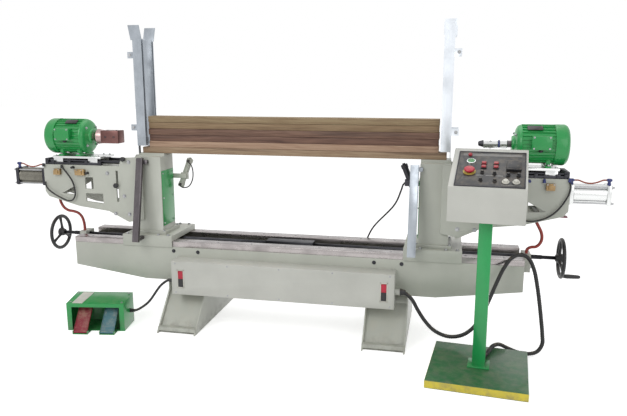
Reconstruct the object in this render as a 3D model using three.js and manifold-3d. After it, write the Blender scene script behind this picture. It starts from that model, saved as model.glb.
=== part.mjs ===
// Double-ended horizontal boring machine: two heads slide on one bed and drill both ends of a
// billet that waits in a magazine between them. A desk on its own stand and a foot switch
// belong to it. Millimetres, +Z up, +X along the bed, the operator stands on the -Y side.
import * as THREE from "three";
import { mergeVertices } from "three/addons/utils/BufferGeometryUtils.js";
import Module from "manifold-3d";

const wasm = await Module();
wasm.setup();

// ---- Driving dimensions ------------------------------------------------------------------
const GAP = 0.3; // running or resting gap between touching pieces
const SHEET = 8; // bed and leg plate

// Bed
const BED_HALF = 1300;
const BED_Y = 168; // half width
const BED_TOP = 464;
const BED_BELLY = 262; // underside of the deep middle
const BED_TIP = 323; // underside at the ends
const BELLY_HALF = 850; // where the underside starts to rise
const WAY_TOP = 496;
const WAY_WIDTH = 76;

// Legs
const LEG_X = 588; // middle of a leg
const LEG_WIDTH = 232;
const LEG_FOOT_Y = 356; // half depth on the floor

// Electrical box on the front of the bed
const BOX_HALF = 636;
const BOX_DEPTH = 104;
const BOX_LOW = 213;
const BOX_HIGH = 408;
const BOX_WALL = 3;
const SWITCH_X = 580;
const SWITCH_SIZE = [28, 9, 92];

// Heads
const HEAD_X = 825; // middle of a saddle from the middle of the bed
const SADDLE_HALF = 155;
const SADDLE_TOP = 528;
const HEAD_Y = -35; // plane of the spindle
const COLUMN_HALF_X = 80;
const COLUMN_HALF_Y = 85;
const COLUMN_TOP = 984;
const COLUMN_WALL = 12;
const REST_TOP = 1000;
const FLANGE_THICK = 18;
const COVER_THICK = 3;

// Arm, slide and drilling unit, as distances outward from the middle of the bed
const ARM_PLATE = 12;
const ARM_OUTER = 1500;
const DECK_TOP = 925;
const DECK_THICK = 20;
const ROD_RADIUS = 11;
const ROD_SPREAD = 65; // rods lie this far each side of the spindle plane
const ROD_Z = 945;
const PLATE_Z = 963;
const PLATE_THICK = 12;
const PLATE_X = [1129, 1447];
const SPINDLE_Z = 1090;
const MOTOR_X = [1209, 1494];
const MOTOR_RADIUS = 106;
const FEED_STROKE = 120;

// Air cylinder
const CYLINDER_Y = -75;
const CYLINDER_Z = 845;
const CYLINDER_RADIUS = 50;
const CYLINDER_CAP = 104; // square end caps
const CYLINDER_END = 1702;
const PISTON_RADIUS = 12;

// Leadscrews and handwheels
const SCREW_Z = 476;
const SCREW_RADIUS = 12;
const WHEEL_X = 1502; // plane of the rim
const WHEEL_RADIUS = 111;
const RIM_RADIUS = 11;
const BRACKET_END = 1345;

// Magazine and billets
const BILLET_HALF = 838;
const LOW_BILLET_HALF = 880;
const BILLET_THICK = 36;
const BILLET_COUNT = 6;
const BILLET_Y = [-60, 40];
const RAIL_X = [845, 899];
const RAIL_DEPTH = 25;
const RAIL_WALL = 4;
const RAIL_TOP = 1653;
const LIP_RISE = 72;
const LIP_LEAN = 28;

// Chute rails in front of the columns
const CHUTE_WIDTH = 46;
const CHUTE_WALL = 4;
const CHUTE_FLANGE = 22;
const CHUTE_TOP = [-138, 978]; // y, z
const CHUTE_FOOT = [-242, 500];
const CHUTE_X = { left: [-885, -839], right: [694, 740] };

// Control stand, turned a little to face the operator
const STAND_PLACE = [1074, -489];
const STAND_TURN = THREE.MathUtils.degToRad(-5.5);
const BASE_SIZE = [466, 484, 40];
const POLE_SIDE = 62;
const POLE_WALL = 4;
const POLE_Y = 8;
const DESK_WIDTH = 350;
const DESK_LOW = 775;
const DESK_FRONT = [-102, 938]; // y and z of the front top edge
const DESK_BACK = [222, 1083];
const DESK_CREST = 14; // flat strip behind the slope
const DESK_WALL = 3;
const PANEL_X = [-145, 160];
const PANEL_RUN = [14, 318]; // along the slope from its front edge
const PANEL_THICK = 3;
const BUTTON_WELL = 14; // depth of the hole that a button sinks into
const BUTTON_TRAVEL = 6;
const PUSHED = [ // name, stem radius, place across and up the panel
  ["emergency_stop", 13, -89, 134],
  ["start_button", 17, -87, 226],
];
const STOP_HEAD = 25;
const DIALS = { left_dial: 78, right_dial: 124 };
const DIAL_RUN = 52;
const DIAL_RADIUS = 17;

// Foot switch
const PEDAL_PLACE = [-1075, -308];
const PEDAL_TURN = THREE.MathUtils.degToRad(9.5);
const GUARD_SIZE = [334, 170];
const GUARD_FRONT = 163;
const GUARD_BACK = 178;
const GUARD_WALL = 4;
const GUARD_POST = 28;
const GUARD_LIP = 22;
const HINGE_RADIUS = 3.2;
const HINGE_PLACE = [-136, 12]; // y, z of the heel hinge
const PAD_TOP = [-28, 126]; // y, z of the pad's upper edge
const PEDAL_WIDTH = 78;
const PEDALS = { red_pedal: -72, blue_pedal: 82 };

// Cords, as points chosen by hand along their real routes
const STAND_CABLE_RADIUS = 11;
const STAND_CABLE = [
  [662.5, -220, 298], [674, -220, 298], [694, -221, 292], [728, -225, 262], [762, -229, 205], [801, -235, 150],
  [842, -242, 110], [888, -250, 88], [940, -258, 82], [1000, -264, 100], [1052, -266, 146],
  [1092, -262, 215], [1125, -252, 297], [1159, -236, 388], [1192, -216, 462], [1230, -188, 511],
  [1275, -160, 526], [1318, -152, 508], [1348, -166, 452], [1367, -188, 370], [1380, -206, 290],
  [1392, -222, 205], [1402, -232, 125], [1404, -238, 72], [1380, -241, 30], [1336, -238, 13],
  [1286, -226, 13], [1236, -214, 26], [1192, -222, 46], [1158, -262, 52], [1136, -320, 52],
  [1116, -380, 52], [1098, -418, 54], [1090, -448, 56],
];
const PEDAL_CABLE_RADIUS = 7;
const PEDAL_CABLE = [
  [-912.8, -260.6, 88], [-898, -258.2, 88], [-876, -251, 90], [-846, -240, 106], [-815, -230, 130], [-788, -225, 162],
  [-762, -221, 200], [-735, -218, 236], [-708, -216, 260], [-686, -215, 273], [-668, -215, 275], [-655.5, -215, 275],
];
const CLAMP_HOSE_RADIUS = 5;
const CLAMP_HOSE = [
  [663.3, 82, 850], [654, 82, 848], [643, 84, 836], [636, 88, 814], [626, 94, 784],
  [612, 104, 746], [590, 120, 706], [560, 138, 668], [526, 156, 630], [492, 172, 592], [462, 183, 552],
  [440, 190, 510], [424, 193, 470], [412, 193, 436], [403, 189, 410], [400, 180, 401], [400, 169, 400],
];
const CONDUIT_RADIUS = 9;
const CONDUIT_FOOT = [1323, -22];
const CONDUIT = {
  left: [
    [-1456, -60, 728.8], [-1456, -60, 716], [-1456, -59, 700], [-1450, -58, 676], [-1434, -56, 648], [-1408, -52, 630],
    [-1376, -47, 624], [-1348, -40, 612], [-1331, -32, 588], [-1324, -26, 556], [-1323, -22, 526],
    [-1323, -22, 500.5],
  ],
  right: [
    [1352, -60, 728.8], [1352, -60, 716], [1354, -58, 702], [1361, -54, 678], [1376, -48, 650], [1390, -42, 620],
    [1395, -36, 588], [1388, -30, 560], [1370, -26, 540], [1342, -23, 534], [1326, -22, 522],
    [1323, -22, 511], [1323, -22, 500.5],
  ],
};
const STRAP_X = { left: 1456, right: 1352 };
const STRAP_Z = 729.3;

// ---- Shape helpers -----------------------------------------------------------------------
const machine = new THREE.Group();
const cords = new THREE.Group();

function box(x0, x1, y0, y1, z0, z1) {
  return new THREE.BoxGeometry(x1 - x0, y1 - y0, z1 - z0)
    .translate((x0 + x1) / 2, (y0 + y1) / 2, (z0 + z1) / 2);
}

function extruded(outline, length) {
  const shape = new THREE.Shape(outline.map(([a, b]) => new THREE.Vector2(a, b)));
  return new THREE.ExtrudeGeometry(shape, { depth: length, bevelEnabled: false });
}

// A side outline given as x, z and carried from y0 to y1.
function prismAlongY(outline, y0, y1) {
  return extruded(outline, y1 - y0).rotateX(Math.PI / 2).translate(0, y1, 0);
}

// An end outline given as y, z and carried from x0 to x1.
function prismAlongX(outline, x0, x1) {
  const turn = new THREE.Matrix4().makeBasis(
    new THREE.Vector3(0, 1, 0),
    new THREE.Vector3(0, 0, 1),
    new THREE.Vector3(1, 0, 0),
  );
  return extruded(outline, x1 - x0).applyMatrix4(turn).translate(x0, 0, 0);
}

function rodAlongX(radius, x0, x1, y, z, sides = 16) {
  return new THREE.CylinderGeometry(radius, radius, x1 - x0, sides)
    .rotateZ(Math.PI / 2)
    .translate((x0 + x1) / 2, y, z);
}

// A profile of x, radius pairs turned about a line along X.
function turnedAlongX(profile, y, z, sides = 28) {
  const points = profile.map(([x, r]) => new THREE.Vector2(r, x));
  return new THREE.LatheGeometry(points, sides).rotateZ(-Math.PI / 2).translate(0, y, z);
}

function solid(geometry) {
  const bare = geometry.index ? geometry.toNonIndexed() : geometry.clone();
  bare.deleteAttribute("normal");
  bare.deleteAttribute("uv");
  const merged = mergeVertices(bare, 1e-4);
  return new wasm.Manifold(new wasm.Mesh({
    numProp: 3,
    vertProperties: merged.attributes.position.array,
    triVerts: new Uint32Array(merged.index.array),
  }));
}

function geometryOf(manifold) {
  const mesh = manifold.getMesh();
  const geometry = new THREE.BufferGeometry();
  geometry.setAttribute("position", new THREE.BufferAttribute(mesh.vertProperties, mesh.numProp));
  geometry.setIndex(new THREE.BufferAttribute(mesh.triVerts, 1));
  geometry.computeVertexNormals();
  return geometry;
}

function joined(...pieces) {
  return geometryOf(pieces.map(solid).reduce((all, next) => all.add(next)));
}

function cut(body, ...tools) {
  return geometryOf(tools.map(solid).reduce((left, tool) => left.subtract(tool), solid(body)));
}

function finish(color, roughness, metalness) {
  return { color, roughness, metalness };
}

const PAINT = finish(0xc6c8bd, 0.45, 0.1);
const GREEN = finish(0x0f8a3c, 0.4, 0.1);
const DARK_GREEN = finish(0x1f6b38, 0.5, 0.1);
const STEEL = finish(0x8d8a86, 0.35, 0.9);
const DARK_STEEL = finish(0x4a4246, 0.4, 0.8);
const GALVANISED = finish(0xb4c0c8, 0.35, 0.9);
const ALUMINIUM = finish(0xc4c6c4, 0.3, 0.9);
const BLACK = finish(0x141414, 0.5, 0.0);
const RED = finish(0xb01226, 0.4, 0.0);
const BLUE = finish(0x3d7d86, 0.5, 0.0);
const WOOD = finish(0x8f6b45, 0.7, 0.0);
const HOSE_RED = finish(0x9a2a1e, 0.5, 0.0);

function piece(name, geometry, look, group = machine) {
  const mesh = new THREE.Mesh(geometry, new THREE.MeshStandardMaterial(look));
  mesh.name = name;
  group.add(mesh);
  return mesh;
}

// ---- Bed, ways and legs ------------------------------------------------------------------
function bedOutline(inset) {
  const half = BED_HALF - inset;
  const belly = BELLY_HALF - inset * 0.1;
  return [
    [-half, BED_TOP], [-half, BED_TIP + inset], [-belly, BED_BELLY + inset],
    [belly, BED_BELLY + inset], [half, BED_TIP + inset], [half, BED_TOP],
  ];
}

function makeBed() {
  const trough = bedOutline(SHEET);
  trough[0][1] = BED_TOP + SHEET;
  trough[5][1] = BED_TOP + SHEET;
  const shaftNotch = SCREW_RADIUS + 12;
  const shell = cut(
    prismAlongY(bedOutline(0), -BED_Y, BED_Y),
    prismAlongY(trough, -BED_Y + SHEET, BED_Y - SHEET),
    box(-BED_HALF - 1, BED_HALF + 1, -shaftNotch, shaftNotch, SCREW_Z - shaftNotch, BED_TOP + 1),
  );
  const shelves = [-1, 1].map((side) => box(
    -BED_HALF + SHEET / 2,
    BED_HALF - SHEET / 2,
    ...[side * (BED_Y - WAY_WIDTH), side * (BED_Y - SHEET / 2)].sort((a, b) => a - b),
    BED_TOP - SHEET,
    BED_TOP,
  ));
  const bearingStand = box(-90, 90, -30, 30, BED_BELLY + SHEET / 2, SCREW_Z - 34);
  piece("bed", joined(shell, ...shelves, bearingStand), PAINT);

  for (const [name, side] of [["front_way", -1], ["rear_way", 1]]) {
    const edges = [side * BED_Y, side * (BED_Y - WAY_WIDTH)].sort((a, b) => a - b);
    piece(name, box(-BED_HALF, BED_HALF, ...edges, BED_TOP + GAP, WAY_TOP), STEEL);
  }
}

function makeLeg(name, side) {
  const x0 = side * LEG_X - LEG_WIDTH / 2;
  const x1 = side * LEG_X + LEG_WIDTH / 2;
  const top = BED_BELLY - GAP;
  const recess = 26;
  const knee = BOX_LOW - 5;
  const trapezoid = (inset, floor = 0, lid = top) => [
    [-LEG_FOOT_Y + inset, floor], [LEG_FOOT_Y - inset, floor], [BED_Y - inset, knee],
    [BED_Y - inset, lid], [-BED_Y + inset, lid], [-BED_Y + inset, knee],
  ];
  const plates = [[x0, x0 + SHEET], [x1 - SHEET, x1]].map((ends) => prismAlongX(trapezoid(0), ...ends));
  const core = cut(
    prismAlongX(trapezoid(recess), x0 + SHEET / 2, x1 - SHEET / 2),
    prismAlongX(trapezoid(recess + SHEET, -1, top - SHEET), x0 + SHEET, x1 - SHEET),
  );
  const ledge = 22;
  const ledges = [-1, 1].map((way) => box(
    x0 + SHEET / 2,
    x1 - SHEET / 2,
    ...[way * (LEG_FOOT_Y - 14), way * (LEG_FOOT_Y - recess - 20)].sort((a, b) => a - b),
    14,
    14 + ledge,
  ));
  piece(name, joined(...plates, core, ...ledges), PAINT);
}

// ---- Electrical box ----------------------------------------------------------------------
function makeElectricalBox() {
  const back = -BED_Y - GAP;
  const front = -BED_Y - BOX_DEPTH;
  const [standX, standY, standZ] = STAND_CABLE[0];
  const [pedalX, pedalY, pedalZ] = PEDAL_CABLE.at(-1);
  const glandRadius = 18;
  const body = joined(
    box(-BOX_HALF, BOX_HALF, front, back, BOX_LOW, BOX_HIGH),
    rodAlongX(glandRadius, BOX_HALF - 1, standX - GAP, standY, standZ),
    rodAlongX(glandRadius - 4, pedalX + GAP, -BOX_HALF + 1, pedalY, pedalZ),
  );
  const [wide, proud, tall] = SWITCH_SIZE;
  const middle = (BOX_LOW + BOX_HIGH) / 2 - 4;
  const pocket = 6;
  const cavity = box(
    -BOX_HALF + BOX_WALL, BOX_HALF - BOX_WALL, front + pocket + BOX_WALL, back + 1,
    BOX_LOW + BOX_WALL, BOX_HIGH - BOX_WALL,
  );
  const pockets = [-1, 1].map((side) => box(
    side * SWITCH_X - wide / 2 - GAP, side * SWITCH_X + wide / 2 + GAP,
    front - 1, front + pocket, middle - tall / 2 - 1, middle + tall / 2 + 1,
  ));
  piece("power_box", cut(body, cavity, ...pockets), PAINT);
  for (const [name, side] of [["left_power_switch", -1], ["right_power_switch", 1]]) {
    const outline = [
      [front + pocket - 2, middle], [front + 1, middle + tall / 2], [front - proud + 3, middle + tall / 2],
      [front - 3, middle], [front - proud + 3, middle - tall / 2], [front + 1, middle - tall / 2],
    ].reverse();
    piece(name, prismAlongX(outline, side * SWITCH_X - wide / 2, side * SWITCH_X + wide / 2), RED);
  }
}

// ---- One head, drawn on the right of the bed and mirrored for the left ------------------
function makeSaddle() {
  const x0 = HEAD_X - SADDLE_HALF;
  const x1 = HEAD_X + SADDLE_HALF;
  const apron = 7;
  const front = -BED_Y - GAP;
  const nutHalf = 26;
  const body = joined(
    box(x0, x1, front - apron, -front + apron, WAY_TOP + GAP, SADDLE_TOP),
    box(x0, x1, front - apron, front, BED_TOP - 2, WAY_TOP + 1),
    box(x0, x1, -front, -front + apron, BED_TOP - 2, WAY_TOP + 1),
    box(HEAD_X - 40, HEAD_X + 40, -nutHalf, nutHalf, SCREW_Z - nutHalf, WAY_TOP + 1),
  );
  return cut(body, rodAlongX(SCREW_RADIUS + GAP, x0 - 1, x1 + 1, 0, SCREW_Z));
}

function makeColumn() {
  const y0 = HEAD_Y - COLUMN_HALF_Y;
  const y1 = HEAD_Y + COLUMN_HALF_Y;
  const x0 = HEAD_X - COLUMN_HALF_X;
  const x1 = HEAD_X + COLUMN_HALF_X;
  const foot = SADDLE_TOP + GAP;
  const body = joined(
    box(x0 - 22, x1 + 18, y0 - 16, y1 + 16, foot, foot + FLANGE_THICK),
    box(x0, x1, y0, y1, foot, COLUMN_TOP),
    box(x0, x1, BILLET_Y[0] - 8, BILLET_Y[1] + 8, COLUMN_TOP - 1, REST_TOP),
  );
  return cut(body, box(
    x0 + COLUMN_WALL, x1 - COLUMN_WALL, y0 + COLUMN_WALL, y1 - COLUMN_WALL, foot - 1, COLUMN_TOP - COLUMN_WALL,
  ));
}

function makeCover() {
  const face = HEAD_X - COLUMN_HALF_X - GAP;
  const margin = 6;
  return box(
    face - COVER_THICK, face, HEAD_Y - COLUMN_HALF_Y + margin, HEAD_Y + COLUMN_HALF_Y - margin, 574, 901,
  );
}

function makeArm(strapX) {
  const inner = HEAD_X + COLUMN_HALF_X + GAP;
  const frontFace = HEAD_Y - COLUMN_HALF_Y - GAP;
  const backFace = HEAD_Y + COLUMN_HALF_Y + GAP;
  const profile = [
    [inner - 45, 612], [958, 592], [1083, 653], [1277, 676], [1478, 730], [ARM_OUTER, 760],
    [ARM_OUTER, DECK_TOP], [1004, DECK_TOP], [986, 975], [inner - 45, COLUMN_TOP - 2],
  ];
  const plates = [[frontFace - ARM_PLATE, frontFace], [backFace, backFace + ARM_PLATE]]
    .map((faces) => prismAlongY(profile, ...faces));
  const across = [frontFace - ARM_PLATE / 2, backFace + ARM_PLATE / 2];
  const deck = box(inner, ARM_OUTER, ...across, DECK_TOP - DECK_THICK, DECK_TOP);
  const endPlate = box(ARM_OUTER - ARM_PLATE, ARM_OUTER, ...across, 752, DECK_TOP - 1);
  const heelPlate = box(inner, inner + ARM_PLATE, ...across, 612, DECK_TOP - 1);
  const strap = box(strapX - 16, strapX + 16, ...across, STRAP_Z, STRAP_Z + ARM_PLATE);
  const through = [frontFace - ARM_PLATE - 1, backFace + ARM_PLATE + 1];
  const lugSlot = box(
    PLATE_X[1] - 50 - FEED_STROKE, PLATE_X[1] + 6, CYLINDER_Y - 18, CYLINDER_Y + 18,
    DECK_TOP - DECK_THICK - 1, DECK_TOP + 1,
  );
  return cut(
    joined(...plates, deck, endPlate, heelPlate, strap),
    lugSlot,
    rodAlongX(PISTON_RADIUS + 2, ARM_OUTER - ARM_PLATE - 1, ARM_OUTER + 1, CYLINDER_Y, CYLINDER_Z),
    prismAlongY([[1302, 745], [1390, 752], [1302, 800]], ...through),
    prismAlongY([[1176, 784], [1230, 784], [1230, 854], [1176, 854]], ...through),
    prismAlongY([[1116, 697], [1230, 708], [1230, 757], [1116, 757]], ...through),
    box(1013, 1027, frontFace - ARM_PLATE - 1, frontFace + 1, 712, 898),
  );
}

function makeSlideRods() {
  const rods = [-1, 1].map((side) => rodAlongX(ROD_RADIUS, 975, 1480, HEAD_Y + side * ROD_SPREAD, ROD_Z));
  const blocks = [[962, 987], [1470, 1496]].map((ends) => box(
    ...ends, HEAD_Y - ROD_SPREAD - 18, HEAD_Y + ROD_SPREAD + 18, DECK_TOP + GAP, PLATE_Z - 3,
  ));
  return joined(...rods, ...blocks);
}

function makeCarriage() {
  const plate = box(...PLATE_X, HEAD_Y - 80, HEAD_Y + 80, PLATE_Z, PLATE_Z + PLATE_THICK);
  const bearings = [];
  const bores = [];
  for (const side of [-1, 1]) {
    const y = HEAD_Y + side * ROD_SPREAD;
    for (const x of [1150, 1378]) {
      bearings.push(box(x, x + 60, y - 16, y + 16, DECK_TOP + 3, PLATE_Z + 1));
    }
    bores.push(rodAlongX(ROD_RADIUS + GAP, 1100, 1460, y, ROD_Z));
  }
  const lugX = PLATE_X[1] - 32;
  const lug = box(lugX, lugX + 28, CYLINDER_Y - 15, CYLINDER_Y + 15, CYLINDER_Z - 24, PLATE_Z + 1);
  const pistonEnd = ARM_OUTER + FEED_STROKE + 20;
  const piston = rodAlongX(PISTON_RADIUS, lugX + 20, pistonEnd, CYLINDER_Y, CYLINDER_Z);
  return joined(cut(joined(plate, ...bearings, lug), ...bores), piston);
}

function makeMotor() {
  const [inner, outer] = MOTOR_X;
  const body = turnedAlongX([
    [inner, 0], [inner, 52], [inner + 12, 58], [inner + 22, 92], [inner + 40, MOTOR_RADIUS - 3],
    [outer - 78, MOTOR_RADIUS - 3], [outer - 76, MOTOR_RADIUS], [outer - 22, MOTOR_RADIUS],
    [outer - 6, MOTOR_RADIUS - 10], [outer, MOTOR_RADIUS - 28], [outer, 0],
  ], HEAD_Y, SPINDLE_Z);
  const sole = PLATE_Z + PLATE_THICK + GAP;
  const feet = box(1262, 1402, HEAD_Y - 78, HEAD_Y + 78, sole, sole + 22);
  const front = HEAD_Y - MOTOR_RADIUS;
  const terminalBox = box(1300, 1392, front - 24, front + 40, SPINDLE_Z - 14, SPINDLE_Z + 50);
  return joined(body, feet, terminalBox);
}

// Left: a broad square cutter block. Right: a slim chuck. Both are drawn on the right.
function makeSpindle(name) {
  const start = MOTOR_X[0] - GAP;
  if (name === "left") {
    const nose = turnedAlongX([
      [1144, 0], [1144, 40], [1176, 46], [1196, 30], [start, 24], [start, 0],
    ], HEAD_Y, SPINDLE_Z);
    const half = 38;
    const block = box(1028, 1148, HEAD_Y - half, HEAD_Y + half, SPINDLE_Z - half, SPINDLE_Z + half);
    return joined(nose, block);
  }
  const shaft = turnedAlongX([
    [1040, 0], [1040, 13], [1066, 19], [1066, 24], [1140, 24], [1140, 20], [1150, 20],
    [1150, 25], [1186, 25], [1186, 18], [start, 18], [start, 0],
  ], HEAD_Y, SPINDLE_Z);
  return shaft;
}

function makeCylinder() {
  const front = ARM_OUTER + GAP;
  const half = CYLINDER_CAP / 2;
  const cap = 22;
  const square = (x0, x1) => box(
    x0, x1, CYLINDER_Y - half, CYLINDER_Y + half, CYLINDER_Z - half, CYLINDER_Z + half,
  );
  const rods = [];
  for (const y of [-1, 1]) {
    for (const z of [-1, 1]) {
      const reach = half - 11;
      rods.push(rodAlongX(6, front + cap - 1, CYLINDER_END + 14, CYLINDER_Y + y * reach, CYLINDER_Z + z * reach, 8));
    }
  }
  const tube = rodAlongX(CYLINDER_RADIUS, front + cap - 1, CYLINDER_END - cap + 1, CYLINDER_Y, CYLINDER_Z, 28);
  const bore = rodAlongX(
    PISTON_RADIUS + GAP, front - 1, ARM_OUTER + FEED_STROKE + 24, CYLINDER_Y, CYLINDER_Z,
  );
  return cut(joined(square(front, front + cap), tube, square(CYLINDER_END - cap, CYLINDER_END), ...rods), bore);
}

function makeMagazineRail(isFront) {
  const billet = isFront ? BILLET_Y[0] - 2 : BILLET_Y[1] + 2;
  const out = isFront ? -1 : 1;
  const span = (a, b) => [billet + out * a, billet + out * b].sort((p, q) => p - q);
  const [x0, x1] = RAIL_X;
  const foot = REST_TOP + BILLET_THICK + 9;
  const nearFlange = box(x0, x1, ...span(0, RAIL_WALL), foot, RAIL_TOP);
  const farFlange = box(x0, x1, ...span(RAIL_DEPTH - RAIL_WALL, RAIL_DEPTH), foot, RAIL_TOP);
  const web = box(x1 - RAIL_WALL, x1, ...span(0, RAIL_DEPTH), foot, RAIL_TOP);
  const hanger = box(
    x1 - RAIL_WALL, x1, ...span(-5, RAIL_DEPTH - 8), REST_TOP + GAP, foot + 40,
  );
  const y = billet + out * (RAIL_DEPTH - RAIL_WALL);
  const edge = [
    [y, RAIL_TOP - 8], [y + out * LIP_LEAN, RAIL_TOP + LIP_RISE],
    [y + out * (LIP_LEAN + 3.5), RAIL_TOP + LIP_RISE], [y + out * RAIL_WALL, RAIL_TOP - 8],
  ];
  const lip = prismAlongX(isFront ? edge.reverse() : edge, x0 - 4, x1 + 10);
  const tabs = [1150, 1562].map((z) => box(x1 - 2, x1 + 38, ...span(14, 18), z - 18, z + 18));
  return joined(nearFlange, farFlange, web, hanger, lip, ...tabs);
}

function makeHandwheel() {
  const rim = new THREE.TorusGeometry(WHEEL_RADIUS - RIM_RADIUS, RIM_RADIUS, 8, 32)
    .rotateY(Math.PI / 2)
    .translate(WHEEL_X + 4, 0, SCREW_Z);
  const hub = turnedAlongX([
    [WHEEL_X - 26, 0], [WHEEL_X - 26, 19], [WHEEL_X - 8, 24], [WHEEL_X + 12, 24], [WHEEL_X + 12, 0],
  ], 0, SCREW_Z, 20);
  const spokes = [0, 1, 2].map((turn) => new THREE.BoxGeometry(10, 22, WHEEL_RADIUS - RIM_RADIUS - 6)
    .translate(0, 0, (WHEEL_RADIUS - RIM_RADIUS) / 2)
    .rotateX((turn * 2 * Math.PI) / 3)
    .translate(WHEEL_X, 0, SCREW_Z));
  const bore = rodAlongX(SCREW_RADIUS - 2 + GAP, WHEEL_X - 27, WHEEL_X + 2, 0, SCREW_Z);
  return cut(joined(rim, hub, ...spokes), bore);
}

function makeLeadscrew() {
  return joined(
    rodAlongX(SCREW_RADIUS, 92, BRACKET_END + 60, 0, SCREW_Z),
    rodAlongX(SCREW_RADIUS - 2, BRACKET_END + 50, WHEEL_X + 1, 0, SCREW_Z),
  );
}

function makeScrewBracket() {
  const block = box(BED_HALF + GAP, BRACKET_END, -46, 46, 398, 500);
  return cut(block, rodAlongX(SCREW_RADIUS + GAP, BED_HALF, BRACKET_END + 1, 0, SCREW_Z));
}

function makeClampCylinder() {
  const face = HEAD_X - COLUMN_HALF_X;
  const back = HEAD_Y + COLUMN_HALF_Y + GAP;
  const barrel = new THREE.CylinderGeometry(20, 20, 190, 16)
    .rotateX(Math.PI / 2)
    .rotateY(-THREE.MathUtils.degToRad(22))
    .translate(face - 68, back + 32, 872);
  const bracket = box(face - 84, face + 50, back, back + 10, 838, 866);
  const saddleBlock = box(face - 92, face - 44, back + 9, back + 20, 832, 872);
  return joined(barrel, bracket, saddleBlock);
}

function makeChuteRail(x0, x1) {
  const [topY, topZ] = CHUTE_TOP;
  const [footY, footZ] = CHUTE_FOOT;
  const length = Math.hypot(topY - footY, topZ - footZ);
  const across = [(topZ - footZ) / length, (footY - topY) / length];
  const slab = (deep) => [
    [topY, topZ], [topY - across[0] * deep, topZ - across[1] * deep],
    [footY - across[0] * deep, footZ - across[1] * deep], [footY, footZ],
  ];
  const face = HEAD_Y - COLUMN_HALF_Y;
  const topLug = box(x1 - 19, x1 + 20, topY - 4, face - GAP, topZ - 34, topZ - 12);
  const footLug = box(x0 + 8, x1 - 4, footY + 2, -BED_Y - 7 - 2 * GAP, 506, 524);
  return joined(
    prismAlongX(slab(CHUTE_WALL), x0, x1),
    prismAlongX(slab(CHUTE_FLANGE), x1 - CHUTE_WALL, x1),
    topLug,
    footLug,
  );
}

function makeHead(name) {
  const side = new THREE.Group();
  side.scale.x = name === "left" ? -1 : 1;
  machine.add(side);
  const add = (what, geometry, look) => piece(`${name}_${what}`, geometry, look, side);
  add("saddle", makeSaddle(), PAINT);
  add("column", makeColumn(), PAINT);
  add("column_cover", makeCover(), GREEN);
  add("arm", makeArm(STRAP_X[name]), PAINT);
  add("slide_rods", makeSlideRods(), STEEL);
  add("carriage", makeCarriage(), STEEL);
  add("motor", makeMotor(), GREEN);
  add("spindle", makeSpindle(name), DARK_STEEL);
  add("feed_cylinder", makeCylinder(), ALUMINIUM);
  add("magazine_front_rail", makeMagazineRail(true), GALVANISED);
  add("magazine_rear_rail", makeMagazineRail(false), GALVANISED);
  add("clamp_cylinder", makeClampCylinder(), PAINT);
  add("handwheel", makeHandwheel(), BLACK);
  add("leadscrew", makeLeadscrew(), STEEL);
  add("screw_bracket", makeScrewBracket(), PAINT);
  piece(`${name}_chute_rail`, makeChuteRail(...CHUTE_X[name]), GALVANISED);
}

function makeCrankGrip() {
  const reach = WHEEL_RADIUS - RIM_RADIUS;
  const start = WHEEL_X + 4 + RIM_RADIUS + GAP;
  const grip = turnedAlongX([
    [start, 0], [start, 8], [start + 14, 12], [start + 86, 10], [start + 94, 6], [start + 94, 0],
  ], 0, SCREW_Z - reach, 14);
  piece("crank_grip", grip, BLACK);
}

function makeCentreBearing() {
  const block = box(-140, 140, -34, 34, SCREW_Z - 34 + GAP, WAY_TOP);
  const bores = [-1, 1].map((side) => rodAlongX(
    SCREW_RADIUS + GAP, ...[side * 91, side * 141].sort((a, b) => a - b), 0, SCREW_Z,
  ));
  piece("screw_centre_bearing", cut(block, ...bores), BLACK);
}

// ---- Billets -----------------------------------------------------------------------------
function makeBillets() {
  const low = REST_TOP + GAP;
  const step = low + BILLET_THICK;
  const top = step + (BILLET_COUNT - 1) * BILLET_THICK;
  piece("lowest_billet", box(-LOW_BILLET_HALF, LOW_BILLET_HALF, ...BILLET_Y, low, step), WOOD);
  piece("billet_stack", box(-BILLET_HALF, BILLET_HALF, ...BILLET_Y, step + GAP, top), WOOD);
}

// ---- Control stand -----------------------------------------------------------------------
// Places a shape drawn on level ground at x = across, y = run onto the slope of the desk.
function onSlope(geometry, across = 0, run = 0) {
  const slope = Math.atan2(DESK_BACK[1] - DESK_FRONT[1], DESK_BACK[0] - DESK_FRONT[0]);
  return geometry.translate(across, run, 0).rotateX(slope).translate(0, ...DESK_FRONT);
}

function post(radius, low, high, sides = 20) {
  return new THREE.CylinderGeometry(radius, radius, high - low, sides)
    .rotateX(Math.PI / 2)
    .translate(0, 0, (low + high) / 2);
}

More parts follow.
